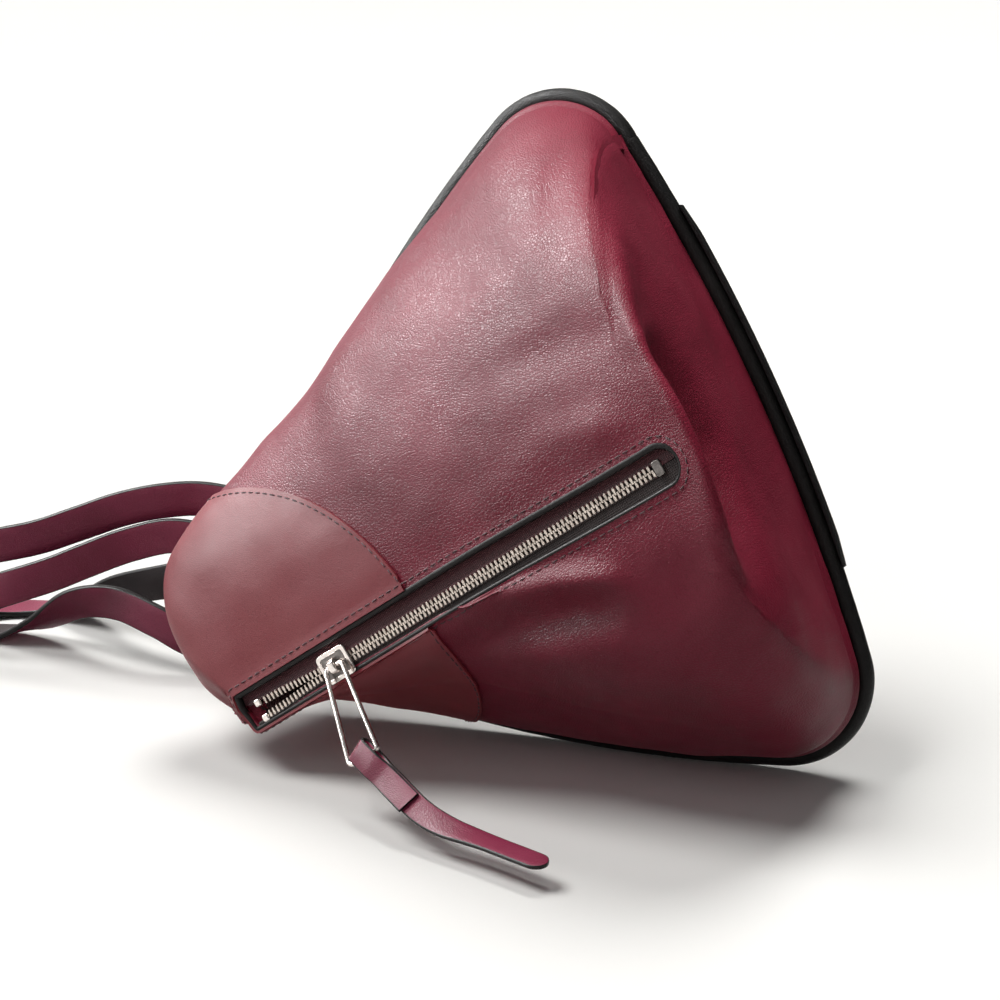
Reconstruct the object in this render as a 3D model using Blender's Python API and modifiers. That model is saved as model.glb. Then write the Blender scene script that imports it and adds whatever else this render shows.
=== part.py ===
"""Leather handbag lying on its long side.

The bag's own axes are X from the base to the top end, Y across the panel towards the side that lies
on the floor, and Z from the back panel out to the front. An empty then lays it down on the floor.
"""

import math

import bmesh
import bpy
from mathutils import Matrix, Vector

# Clearances that every piece shares
seam_gap = 0.0003
run_gap = 0.0004
floor_gap = 0.0002

# The flat back panel: a triangle with round corners and bowed sides
panel_width = 0.310
panel_height = 0.255
corner_radius = 0.038
top_radius = 0.039
base_arc_radius = 0.835
side_arc_radius = 0.620
panel_leather_thickness = 0.0022
board_thickness = 0.0016
panel_lining_thickness = 0.0008

# The round black piping in the seam between the panel and the body
piping_radius = 0.0040
panel_sink_share = 0.1
base_strip_thickness = 0.0016
base_strip_width = 0.0070
base_strip_length = 0.168

# The soft front body, from the piping to the zip slot
leather_thickness = 0.0018
body_seam_height = 0.0037
body_seam_inset = 0.0024
lining_thickness = 0.0008
lining_gap = 0.0008

# How square, how bulged and how sagged the body is at twelve stations round it, as shares
# base: first end, middle, last end; lower corner: middle, end; lower side: middle, end; top: middle;
# upper side: first end, middle, last end; upper corner: middle
square_shares = (2.2, 5.0, 2.2, 2.0, 2.0, 1.9, 2.2, 3.0, 3.0, 2.2, 1.9, 1.9)
bulge_shares = (0.0, -0.38, 0.0, 0.0, -0.2, -0.65, 0.1, 1.0, 1.35, 0.3, -0.25, -0.1)
sag_shares = (0.0, 0.0, 0.0, 0.0, 0.2, 1.0, 0.4, 0.0, 0.0, 0.0, 0.0, 0.0)
body_bulge = 0.0205
body_sag = 0.0080
sag_reach = 0.060
# Beside the slot the leather lies nearly flat in a band, and under the band it leaves room for the zip
slot_band = 0.0055
lower_band_fade = 0.0022
slot_band_drop = 0.0006
slot_clear_depth = 0.0100
slot_fade_depth = 0.0300
band_share = 0.1

# The smooth patch round the zip's open end
patch_thickness = 0.0011
patch_gap = 0.0016
patch_radius = 0.0940
patch_seam_height = 0.0060

# The zip: its line on the front and its slot
zip_base_margin = 0.0290
zip_base_drop = 0.0155
zip_base_depth = 0.1180
zip_top_margin = 0.0125
zip_top_drop = 0.0385
zip_top_depth = 0.0738
slot_half_width = 0.0088
upper_slot_spread = 0.0022
lower_slot_spread = -0.0004
slot_past_stops = 0.0050
welt_radius = 0.0007
tape_thickness = 0.0007
tape_drop = 0.0006
tape_under_leather = 0.0008
tape_past_end = 0.0015

# The chain: two rows of teeth that mesh up to the slider and part beyond it
chain_thickness = 0.0024
chain_half_width = 0.0033
chain_spread = 0.0020
tooth_pitch = 0.0032
tooth_root = 0.00125
tooth_tip = 0.0010
tooth_reach = 0.00045
spine_width = 0.0014
stop_length = 0.0036
stop_thickness = 0.0030
stop_width = 0.0034
bottom_stop_length = 0.0040
slider_from_stops = 0.0445

# The slider and the long wire ring, narrow at the slider and wide at the pull
slider_length = 0.0140
slider_half_width = 0.0064
slider_wall = 0.0010
slider_plate = 0.0011
slider_corner = 0.0022
bridge_length = 0.0066
bridge_width = 0.0034
bridge_wall = 0.0012
ring_wire_radius = 0.0011
ring_length = 0.0440
ring_near_width = 0.0114
ring_far_width = 0.0182
ring_corner = 0.0018
ring_hang_angle = math.radians(70)

# The leather pull: a strip folded loosely round the ring's far bar, turned and then bent sideways
pull_width = 0.0108
pull_thickness = 0.0017
pull_fold_length = 0.0300
pull_loop_end = 0.0029
pull_loop_length = 0.0043
pull_yaw = math.radians(27)
pull_shift = 0.0011
pull_bend = math.radians(22)
pull_bend_length = 0.0260
pull_straight_length = 0.0430
pull_steps = 6
pull_run_shares = (0.3, 0.6, 0.8, 0.9, 0.94, 0.97, 0.99, 1)
pull_tip_share = 0.3

# The two shoulder straps and the tabs that hold their ends on the back
strap_width = 0.0165
strap_thickness = 0.0028
strap_seat = 0.0150
strap_steps = 3
strap_spacing = 0.0190
strap_angle = math.radians(-38)
strap_margin = 0.0430
strap_side_offset = 0.0040
tab_thickness = 0.0022
tab_corner = 0.0070
top_tab_length = 0.0780
top_tab_inset = 0.0120
base_tab_length = 0.0400
base_tab_width = 0.0330
base_tab_margin = 0.0420
base_tab_inset = 0.0420
base_tab_angle = math.radians(28)

# Where the straps run, as shares of their reach along X, Y and Z, with their turn from upright in degrees
strap_run_length = 0.400
upper_strap_shares = (
    (-0.562, 0.164, 0.194, 8), (-0.620, 0.188, 0.200, 0), (-0.670, 0.197, 0.195, 0),
    (-0.720, 0.204, 0.182, 0), (-0.770, 0.208, 0.163, 0), (-0.820, 0.210, 0.145, 0),
    (-0.880, 0.216, 0.130, 4), (-0.945, 0.232, 0.108, 12), (-0.990, 0.250, 0.072, 40),
    (-0.998, 0.260, 0.034, 70), (-0.955, 0.262, 0.008, 88), (-0.885, 0.256, 0.006, 90),
    (-0.830, 0.242, 0.024, 58), (-0.780, 0.220, 0.058, 20), (-0.730, 0.192, 0.070, 2),
    (-0.680, 0.162, 0.060, 0), (-0.632, 0.146, 0.040, 10), (-0.560, 0.148, 0.022, 60),
    (-0.430, 0.150, 0.005, 90), (-0.280, 0.130, 0.005, 90), (-0.130, 0.082, 0.012, 88),
)
lower_strap_shares = (
    (-0.545, 0.131, 0.128, 8), (-0.610, 0.162, 0.154, 0), (-0.658, 0.176, 0.160, 0),
    (-0.710, 0.184, 0.146, 0), (-0.757, 0.184, 0.128, 0), (-0.800, 0.184, 0.110, 0),
    (-0.850, 0.188, 0.092, 4), (-0.900, 0.200, 0.072, 22), (-0.942, 0.230, 0.052, 55),
    (-0.952, 0.272, 0.036, 80), (-0.925, 0.312, 0.016, 90), (-0.865, 0.332, 0.006, 90),
    (-0.795, 0.312, 0.018, 74), (-0.735, 0.262, 0.058, 25), (-0.672, 0.216, 0.088, 4),
    (-0.612, 0.188, 0.112, -8), (-0.530, 0.160, 0.180, -30), (-0.430, 0.152, 0.300, -45),
    (-0.320, 0.152, 0.440, -50),
)

# How the bag lies: the turn of its axis in the panel, the lean back and the yaw
roll_angle = math.radians(29.5)
lean_angle = math.radians(14.0)
yaw_angle = math.radians(17.0)

# Facet counts: stations along base, corner, side, top, side and corner, and rings from the seam to the slot
section_steps = (8, 5, 11, 6, 11, 5)
body_rings = 11
ring_crowding = 1.5
search_step = 0.01
corner_steps = 4
ring_corner_steps = 5
strip_steps = 12
tape_steps = 16
tape_end_steps = 6
spine_steps = 10
fold_steps = 3
half_turn_steps = 8
sharp_angle = math.radians(35)


def material(name, colour, roughness, metallic=0.0):
    made = bpy.data.materials.new(name)
    made.use_nodes = True
    shader = made.node_tree.nodes["Principled BSDF"]
    shader.inputs["Base Color"].default_value = (*colour, 1.0)
    shader.inputs["Roughness"].default_value = roughness
    shader.inputs["Metallic"].default_value = metallic
    made.diffuse_color = (*colour, 1.0)
    return made


def mesh_object(name, points, faces, collection, parent, look):
    mesh = bpy.data.meshes.new(name)
    mesh.from_pydata([tuple(p) for p in points], [], faces)
    mesh.materials.append(look)
    mesh.shade_smooth()
    mesh.set_sharp_from_angle(angle=sharp_angle)
    made = bpy.data.objects.new(name, mesh)
    made.parent = parent
    collection.objects.link(made)
    return made


def plate(name, outline, thickness, height, collection, parent, look):
    """A flat outline in X and Y, thickened about the given height."""
    curve = bpy.data.curves.new(name, "CURVE")
    curve.dimensions = "2D"
    curve.fill_mode = "BOTH"
    curve.extrude = thickness / 2
    line = curve.splines.new("POLY")
    line.points.add(len(outline) - 1)
    for point, (x, y) in zip(line.points, outline):
        point.co = (x, y, 0, 1)
    line.use_cyclic_u = True
    curve.materials.append(look)
    made = bpy.data.objects.new(name, curve)
    made.location = (0, 0, height)
    made.parent = parent
    collection.objects.link(made)
    return made


def tube(name, route, radius, closed, collection, parent, look, resolution=2):
    curve = bpy.data.curves.new(name, "CURVE")
    curve.dimensions = "3D"
    curve.bevel_depth = radius
    curve.bevel_resolution = resolution
    curve.use_fill_caps = not closed
    line = curve.splines.new("POLY")
    line.points.add(len(route) - 1)
    for point, place in zip(line.points, route):
        point.co = (*place, 1)
    line.use_cyclic_u = closed
    line.use_smooth = True
    curve.materials.append(look)
    made = bpy.data.objects.new(name, curve)
    made.parent = parent
    collection.objects.link(made)
    return made


def empty(name, collection, parent=None):
    made = bpy.data.objects.new(name, None)
    made.empty_display_size = strap_width
    made.parent = parent
    collection.objects.link(made)
    return made


def rounded_rectangle(length, width, radius, steps=corner_steps):
    """The outline of a rounded rectangle about the origin, anticlockwise."""
    points = []
    for side_x, side_y, quarter in ((1, 1, 0), (-1, 1, 1), (-1, -1, 2), (1, -1, 3)):
        for step in range(steps + 1):
            angle = (quarter + step / steps) * math.pi / 2
            x = side_x * (length / 2 - radius) + radius * math.cos(angle)
            y = side_y * (width / 2 - radius) + radius * math.sin(angle)
            points.append((x, y))
    return points


def smooth_share(t):
    t = min(max(t, 0), 1)
    return t * t * (3 - 2 * t)


# The panel's outline


def outline_sections():
    """Six tangent arcs: each one's centre, radius, first angle and last angle."""
    corner = Vector((base_arc_radius, panel_width / 2 - corner_radius))
    rise = math.sqrt((base_arc_radius - corner_radius) ** 2 - corner.y ** 2)
    corner.x = base_arc_radius - rise
    top = Vector((panel_height - top_radius, 0))
    # The side arc's centre lies on the far side of the bag, where the two inner distances meet
    between = top - corner
    length = between.length
    to_corner = side_arc_radius - corner_radius
    to_top = side_arc_radius - top_radius
    along = (to_corner ** 2 - to_top ** 2 + length ** 2) / (2 * length)
    across = math.sqrt(to_corner ** 2 - along ** 2)
    unit = between / length
    side = corner + unit * along + Vector((unit.y, -unit.x)) * across
    if side.y > 0:
        side = corner + unit * along - Vector((unit.y, -unit.x)) * across
    base_angle = math.atan2(corner.y, corner.x - base_arc_radius)
    corner_angle = math.atan2(corner.y - side.y, corner.x - side.x)
    top_angle = math.atan2(top.y - side.y, top.x - side.x)
    turn = 2 * math.pi
    far_side = Vector((side.x, -side.y))
    far_corner = Vector((corner.x, -corner.y))
    return (
        (Vector((base_arc_radius, 0)), base_arc_radius, turn - base_angle, base_angle),
        (corner, corner_radius, base_angle, corner_angle),
        (side, side_arc_radius, corner_angle, top_angle),
        (top, top_radius, top_angle, -top_angle),
        (far_side, side_arc_radius, -top_angle, -corner_angle),
        (far_corner, corner_radius, -corner_angle, base_angle - turn),
    )


SECTIONS = outline_sections()
STATIONS = sum(section_steps)
STARTS = [sum(section_steps[:index]) for index in range(7)]


def section_at(station):
    """The section that a station lies in, and how far along it, from 0 to 1."""
    station %= STATIONS
    index = max(i for i in range(6) if STARTS[i] <= station)
    return index, (station - STARTS[index]) / section_steps[index]


def outline_point(station, inset=0):
    """A point of the panel's outline and its outward direction."""
    index, share = section_at(station)
    centre, radius, first, last = SECTIONS[index]
    angle = first + (last - first) * share
    outward = Vector((math.cos(angle), math.sin(angle)))
    return centre + outward * (radius - inset), outward


def outline(inset):
    return [tuple(outline_point(station, inset)[0]) for station in range(STATIONS)]


def key_value(shares, station):
    """A value between the keys at the sections' ends and middles."""
    index, share = section_at(station)
    keys = {0: (0, 1, 2), 1: (2, 3, 4), 2: (4, 5, 6), 3: (6, 7, 8), 4: (8, 9, 10), 5: (10, 11, 0)}[index]
    first, last = (keys[0], keys[1]) if share < 0.5 else (keys[1], keys[2])
    within = smooth_share(share * 2 if share < 0.5 else share * 2 - 1)
    return shares[first] + (shares[last] - shares[first]) * within


# The zip's own frame


ZIP_START = Vector((zip_base_margin, zip_base_drop, zip_base_depth))
ZIP_END = Vector((panel_height - zip_top_margin, zip_top_drop, zip_top_depth))
ZIP_LENGTH = (ZIP_END - ZIP_START).length
ZIP_X = (ZIP_END - ZIP_START).normalized()
ZIP_Y = Vector((-ZIP_X.y, ZIP_X.x, 0)).normalized()
ZIP_Z = ZIP_X.cross(ZIP_Y)


def zip_to_bag(x, y, z=0):
    return ZIP_START + ZIP_X * x + ZIP_Y * y + ZIP_Z * z


def slot_width_at(x, side):
    """How far the slot's edge lies from the zip's line, which changes towards the open end."""
    spread = lower_slot_spread if side > 0 else upper_slot_spread
    return slot_half_width + spread * smooth_share(2 * x / ZIP_LENGTH)


def band_at(x, side):
    """How far beside the slot the leather lies flat: less below the zip's open end, where it turns down."""
    return slot_band - (lower_band_fade * smooth_share(2 * x / ZIP_LENGTH) if side > 0 else 0)


def slot_point(station, inset=0, band_part=0):
    """The point of the slot's edge that a station's seam runs to, in the zip's frame."""
    index, share = section_at(station)
    last_x = ZIP_LENGTH + slot_past_stops
    if index == 0:
        angle = math.pi * (1.5 - share)
        radius = slot_half_width - inset + slot_band * band_part
        return radius * math.cos(angle), radius * math.sin(angle)
    if index == 3:
        angle = math.pi * (0.5 - share)
        side = 1 if angle > 0 else -1
        reach = slot_width_at(last_x, -1) / 2 + slot_band * band_part - inset
        half = slot_width_at(last_x, side) + band_at(last_x, side) * band_part - inset
        return last_x + reach * math.cos(angle), half * math.sin(angle)
    corner_share = section_steps[1] / (section_steps[1] + section_steps[2])
    along = {1: share * corner_share, 2: corner_share + share * (1 - corner_share)}
    back = {4: 1 - share * (1 - corner_share), 5: corner_share * (1 - share)}
    side = 1 if index in along else -1
    x = last_x * (along[index] if side > 0 else back[index])
    return x, side * (slot_width_at(x, side) + band_at(x, side) * band_part - inset)


# The soft body's surface


def laid_rotation():
    turn = Matrix.Rotation(math.pi + roll_angle, 3, "Z")
    lean = Matrix.Rotation(math.pi / 2 - lean_angle, 3, "X")
    yaw = Matrix.Rotation(-yaw_angle, 3, "Z")
    return yaw @ lean @ turn


ROTATION = laid_rotation()


def resting_height():
    """How high the bag's origin lies when the piping rests on the floor."""
    lowest = 0
    for station in range(STATIONS):
        place, _ = outline_point(station, piping_radius)
        lowest = min(lowest, (ROTATION @ Vector((place.x, place.y, 0))).z)
    return piping_radius - lowest


REST_HEIGHT = resting_height()


def to_floor(place):
    return ROTATION @ place + Vector((0, 0, REST_HEIGHT))


def beside_slot(place):
    """Moves a point out from under the slot, so that the leather turns down beside the zip."""
    from_start = place - ZIP_START
    x, y, z = from_start.dot(ZIP_X), from_start.dot(ZIP_Y), from_start.dot(ZIP_Z)
    last_x = ZIP_LENGTH + slot_past_stops
    along = min(max(x, 0), last_x)
    depth = max(-z, 0)
    side = 1 if y > 0 else -1
    band_depth = min(depth / slot_band_drop, 1)
    half = slot_width_at(along, side) + band_at(along, side) * band_depth
    end_half = slot_width_at(last_x, -1) / 2 if x > last_x else slot_half_width
    share = math.hypot((x - along) / (end_half + slot_band * band_depth), y / half)
    wanted = 1 - smooth_share((depth - slot_clear_depth) / slot_fade_depth)
    if share >= wanted or share == 0:
        return place
    grow = wanted / share
    return zip_to_bag(along + (x - along) * grow, y * grow, z)


def surface(station, t):
    """A point of the body's outer face: t runs from the seam, 0, to the slot's edge, 1."""
    seam, outward = outline_point(station, piping_radius + body_seam_inset)
    edge = zip_to_bag(*slot_point(station, 0, 1), -slot_band_drop)
    within_band = 1 - (1 - t) / band_share
    if within_band >= 0:
        return edge.lerp(zip_to_bag(*slot_point(station)), within_band)
    t /= 1 - band_share
    power = 2 / key_value(square_shares, station)
    angle = t * math.pi / 2
    inward = 1 - max(math.cos(angle), 0) ** power
    up = math.sin(angle) ** power
    flat = seam + (edge.xy - seam) * inward
    flat += outward * body_bulge * key_value(bulge_shares, station) * math.sin(math.pi * t)
    # The front follows the plane of the zip, which falls towards the top end
    slope = -ZIP_Z.x * (flat.x - edge.x) / ZIP_Z.z
    height = body_seam_height + (edge.z + slope * t - body_seam_height) * up
    sag = math.sin(math.pi * min(height / sag_reach, 1)) * body_sag * key_value(sag_shares, station)
    flat += outward * sag
    place = beside_slot(Vector((flat.x, flat.y, height)))
    # Nothing sinks through the floor
    below = floor_gap - to_floor(place).z
    if below > 0:
        down = -ROTATION[2][1]
        place.y -= below / down
    return place


def grid_mesh(name, rows, closed):
    """A grid of points as faces that look outwards, its rows joined into a ring where closed."""
    columns = len(rows[0])
    points = [tuple(place) for row in rows for place in row]
    faces = []
    count = len(rows) if closed else len(rows) - 1
    for i in range(count):
        after = (i + 1) % len(rows)
        for j in range(columns - 1):
            near, far = i * columns + j, after * columns + j
            faces.append((near, near + 1, far + 1))
            faces.append((near, far + 1, far))
    mesh = bpy.data.meshes.new(name)
    mesh.from_pydata(points, [], faces)
    mesh.update()
    return mesh


def moved_rows(rows, depth):
    """The same ring of rows with each point moved inwards, square to the faces round it."""
    mesh = grid_mesh("offset", rows, True)
    columns = len(rows[0])
    made = []
    for i, row in enumerate(rows):
        normals = [vertex.normal for vertex in mesh.vertices[i * columns:(i + 1) * columns]]
        made.append([place - normal * depth for place, normal in zip(row, normals)])
    bpy.data.meshes.remove(mesh)
    return made


def row_at(row, ring):
    """A point of one row, between its rings."""
    j = min(math.floor(ring), len(row) - 2)
    return row[j].lerp(row[j + 1], ring - j)


def shell(name, rows, closed, thickness, collection, parent, look):
    """A grid of points given a thickness inwards."""
    mesh = grid_mesh(name, rows, closed)
    faces = bmesh.new()
    faces.from_mesh(mesh)
    bmesh.ops.remove_doubles(faces, verts=faces.verts, dist=seam_gap / 100)
    faces.to_mesh(mesh)
    faces.free()
    mesh.materials.append(look)
    mesh.shade_smooth()
    mesh.set_sharp_from_angle(angle=sharp_angle)
    made = bpy.data.objects.new(name, mesh)
    made.parent = parent
    collection.objects.link(made)
    solid = made.modifiers.new("Thickness", "SOLIDIFY")
    solid.thickness = thickness
    solid.offset = -1
    solid.use_even_offset = False
    return made


# Back panel


def make_panel(collection, bag, looks):
    inset = 2 * piping_radius + seam_gap
    panel_face = -piping_radius * panel_sink_share
    height = panel_face - panel_leather_thickness / 2
    plate("back_panel", outline(inset), panel_leather_thickness, height, collection, bag, looks["leather"])
    height = panel_face + seam_gap + board_thickness / 2
    plate("panel_board", outline(inset + seam_gap), board_thickness, height, collection, bag, looks["board"])
    height += board_thickness / 2 + seam_gap + panel_lining_thickness / 2
    deeper = inset + leather_thickness + lining_gap
    plate("panel_lining", outline(deeper), panel_lining_thickness, height, collection, bag, looks["lining"])
    return panel_face - panel_leather_thickness


def make_piping(collection, bag, looks):
    route = [(*outline_point(station, piping_radius)[0], 0) for station in range(STATIONS)]
    tube("rim_piping", route, piping_radius, True, collection, bag, looks["black"])
    # A second, thin strip runs outside the piping along the middle of the base
    half = base_strip_length / 2 / base_arc_radius
    outer = []
    inner = []
    for step in range(strip_steps + 1):
        angle = math.pi - half + 2 * half * step / strip_steps
        for points, grow in ((inner, seam_gap), (outer, seam_gap + base_strip_thickness)):
            radius = base_arc_radius + grow
            points.append((base_arc_radius + radius * math.cos(angle), radius * math.sin(angle)))
    outline_points = inner + outer[::-1]
    plate("base_strip", outline_points, base_strip_width, 0, collection, bag, looks["black"])


# Body, lining and patch


def patch_ends():
    """The two stations at which the patch's arc meets the slot."""
    centre = zip_to_bag(ZIP_LENGTH, 0)
    ends = []
    for station, step in ((STARTS[2], search_step), (STARTS[5], -search_step)):
        while (zip_to_bag(*slot_point(station)) - centre).length > patch_radius:
            station += step
        ends.append(station)
    return ends


def make_body(stations, collection, bag, looks):
    rings = [(1 - band_share) * (ring / body_rings) ** ring_crowding for ring in range(body_rings + 1)]
    rows = [[surface(station, t) for t in [*rings, 1]] for station in stations]
    shell("body_shell", rows, True, leather_thickness, collection, bag, looks["leather"])
    # The lining hangs just inside, and stops short of the seam and of the slot
    inner = [row[1:-3] for row in moved_rows(rows, leather_thickness + lining_gap)]
    shell("body_lining", inner, True, lining_thickness, collection, bag, looks["lining"])
    return rows


def make_patch(rows, collection, bag, looks):
    """The smooth patch caps the top end, and its edge is an arc about the zip's open end."""
    centre = zip_to_bag(ZIP_LENGTH, 0)
    last_ring = len(rows[0]) - 1
    patch = []
    for row in rows:
        low, high = 0, last_ring
        while high - low > search_step:
            middle = (low + high) / 2
            place = row_at(row, middle)
            if (place - centre).length > patch_radius or place.z < patch_seam_height:
                low = middle
            else:
                high = middle
        patch.append([row_at(row, max(ring, high)) for ring in range(last_ring + 1)])
    shell("top_patch", patch, False, patch_thickness, collection, bag, looks["smooth"])


# Zip


def slider_rest_x():
    return ZIP_LENGTH - slider_from_stops


def chain_offset(x):
    """How far each row stands off the middle line: nothing up to the slider, then more."""
    return chain_spread * smooth_share((x - slider_rest_x()) / slider_from_stops)


def make_zip(collection, zip_frame, looks):
    tape_top = -leather_thickness - tape_drop
    tape_middle = tape_top - tape_thickness / 2
    welt = []
    for station in range(STATIONS):
        x, y = slot_point(station, welt_radius + seam_gap)
        welt.append((x, y, -leather_thickness / 2))
    tube("slot_welt", welt, welt_radius, True, collection, zip_frame, looks["black"])
    last_x = ZIP_LENGTH + slot_past_stops
    first_x = -slot_half_width - tape_past_end
    for side, label in ((-1, "upper"), (1, "lower")):
        inner = []
        for step in range(tape_steps + 1):
            x = first_x + (last_x - first_x) * step / tape_steps
            gap = seam_gap / 2
            if x > bottom_stop_length:
                gap = chain_half_width + seam_gap + chain_offset(x)
            inner.append((x, side * gap))
        stop_x = bottom_stop_length
        before = [point for point in inner if point[0] <= stop_x]
        after = [point for point in inner if point[0] > stop_x]
        turn = [(stop_x, side * seam_gap / 2), (stop_x, side * (chain_half_width + seam_gap))]
        outer = []
        for step in range(tape_steps + 1):
            x = last_x - last_x * step / tape_steps
            outer.append((x, side * (slot_width_at(x, side) + tape_under_leather)))
        for step in range(1, tape_end_steps):
            angle = math.pi / 2 * (1 + step / tape_end_steps)
            radius = slot_half_width + tape_past_end
            outer.append((radius * math.cos(angle), side * radius * math.sin(angle)))
        outline_points = before + turn + after + outer
        plate("zip_tape_" + label, outline_points, tape_thickness, tape_middle, collection, zip_frame,
              looks["tape"])
        make_teeth("zip_teeth_" + label, side, tape_middle, collection, zip_frame, looks["teeth"])
        x = ZIP_LENGTH
        y = side * (chain_offset(x) + chain_half_width - stop_width / 2)
        outline_points = [(x + px, y + py) for px, py in
                          rounded_rectangle(stop_length, stop_width, stop_width / 4)]
        plate("top_stop_" + label, outline_points, stop_thickness, tape_middle, collection, zip_frame,
              looks["nickel"])
    return tape_middle


def teeth_end():
    return ZIP_LENGTH - stop_length / 2 - seam_gap


def make_teeth(name, side, height, collection, zip_frame, look):
    """One row: a spine with teeth that reach past the middle, set half a pitch from the other row."""
    first = bottom_stop_length + seam_gap
    start = first + tooth_pitch / 4 * (2 - side)
    count = int((teeth_end() - start - tooth_root / 2) / tooth_pitch) + 1
    inner = [(first, chain_half_width - spine_width)]
    for index in range(count):
        x = start + index * tooth_pitch
        root = chain_half_width - spine_width
        inner.append((x - tooth_root / 2, root))
        inner.append((x - tooth_tip / 2, -tooth_reach))
        inner.append((x + tooth_tip / 2, -tooth_reach))
        inner.append((x + tooth_root / 2, root))
    inner.append((teeth_end(), chain_half_width - spine_width))
    open_from = slider_rest_x()
    outer = []
    for step in range(spine_steps + 1):
        outer.append((teeth_end() + (open_from - teeth_end()) * step / spine_steps, chain_half_width))
    outer.append((first, chain_half_width))
    outline_points = [(x, side * (y + chain_offset(x))) for x, y in inner + outer]
    plate(name, outline_points, chain_thickness, height, collection, zip_frame, look)


def make_bottom_stop(height, collection, zip_frame, looks):
    """A clip that closes the chain's far end, bent over both rows just before the first tooth."""
    outline_points = [(bottom_stop_length / 2 + x, y) for x, y in
                      rounded_rectangle(bottom_stop_length, 2 * chain_half_width, tooth_tip)]
    top = height + tape_thickness / 2 + seam_gap + (chain_thickness - tape_thickness) / 4
    plate("bottom_stop", outline_points, (chain_thickness - tape_thickness) / 2, top, collection,
          zip_frame, looks["nickel"])


# Slider, ring and pull


def make_slider(height, collection, zip_frame, looks):
    """The top plate with its side walls and bridge, and the bottom plate under the tapes."""
    carrier = empty("slider_frame", collection, zip_frame)
    carrier.location = (slider_rest_x(), 0, height)
    half = chain_thickness / 2 + run_gap
    wall_low = tape_thickness / 2 + run_gap
    profile = rounded_rectangle(slider_length, 2 * slider_half_width, slider_corner)
    for name, side in (("slider_body", 1), ("slider_base", -1)):
        low, high = sorted((side * half, side * (half + slider_plate)))
        top = plate(name, profile, high - low, (high + low) / 2, collection, carrier, looks["nickel"])
        top = to_mesh(top, collection)
        for wall_side in (-1, 1):
            low = min(side * wall_low, side * (half + slider_plate / 2))
            high = max(side * wall_low, side * (half + slider_plate / 2))
            size = (slider_length - 2 * slider_corner, slider_wall, high - low)
            place = (0, wall_side * (slider_half_width - slider_wall / 2), (high + low) / 2)
            join_box(top, "wall", size, place, carrier)
        if side > 0:
            add_bridge(top, half + slider_plate, carrier)
    return carrier, half + slider_plate + seam_gap + ring_wire_radius


def to_mesh(made, collection):
    """Turns a curve object into a mesh object of the same name and place."""
    bpy.context.view_layer.update()
    graph = bpy.context.evaluated_depsgraph_get()
    mesh = bpy.data.meshes.new_from_object(made.evaluated_get(graph))
    name, parent, place = made.name, made.parent, made.location.copy()
    bpy.data.objects.remove(made)
    solid = bpy.data.objects.new(name, mesh)
    mesh.name = name
    solid.parent = parent
    solid.location = place
    collection.objects.link(solid)
    weld = solid.modifiers.new("Weld", "WELD")
    weld.merge_threshold = seam_gap / 100
    return solid


def box(name, size, place, parent, collection):
    mesh = bpy.data.meshes.new(name)
    cube = bmesh.new()
    bmesh.ops.create_cube(cube, size=1, matrix=Matrix.Diagonal((*size, 1)))
    cube.to_mesh(mesh)
    cube.free()
    made = bpy.data.objects.new(name, mesh)
    made.location = place
    made.parent = parent
    made.hide_render = True
    made.display_type = "WIRE"
    collection.objects.link(made)
    return made


def join_box(target, name, size, place, parent, operation="UNION"):
    helper = box(target.name + "_" + name, size, place, parent, bpy.data.collections["helpers"])
    cut = target.modifiers.new(name, "BOOLEAN")
    cut.object = helper
    cut.operation = operation
    cut.solver = "EXACT"
    return helper


def add_bridge(target, base, carrier):
    """An arch across the slider that the ring's end bar passes under."""
    overlap = slider_plate / 2
    bore = 2 * (ring_wire_radius + seam_gap)
    height = bore + bridge_wall
    for side in (-1, 1):
        size = (bridge_width, bridge_wall, height + overlap)
        place = (0, side * (bridge_length - bridge_wall) / 2, base + (height - overlap) / 2)
        join_box(target, "bridge_leg", size, place, carrier)
    size = (bridge_width, bridge_length, bridge_wall)
    place = (0, 0, base + height - bridge_wall / 2)
    join_box(target, "bridge_top", size, place, carrier)


# Ring and pull


def make_ring(carrier, axis_height, collection, looks):
    """A long ring of wire whose end bar lies under the bridge, along the zip."""
    hinge = empty("ring_frame", collection, carrier)
    hinge.location = (0, 0, axis_height)
    hinge.rotation_euler = (math.pi / 2 - ring_hang_angle, 0, 0)
    length = ring_length - 2 * ring_wire_radius
    near = ring_near_width - 2 * ring_wire_radius
    far = ring_far_width - 2 * ring_wire_radius
    route = []
    for y, x in rounded_rectangle(length, near, ring_corner, ring_corner_steps):
        share = 0.5 + y / length
        route.append((x * (1 + (far / near - 1) * share), length / 2 + y, 0))
    tube("pull_ring", route, ring_wire_radius, True, collection, hinge, looks["nickel"], 3)
    return hinge, length


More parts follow.
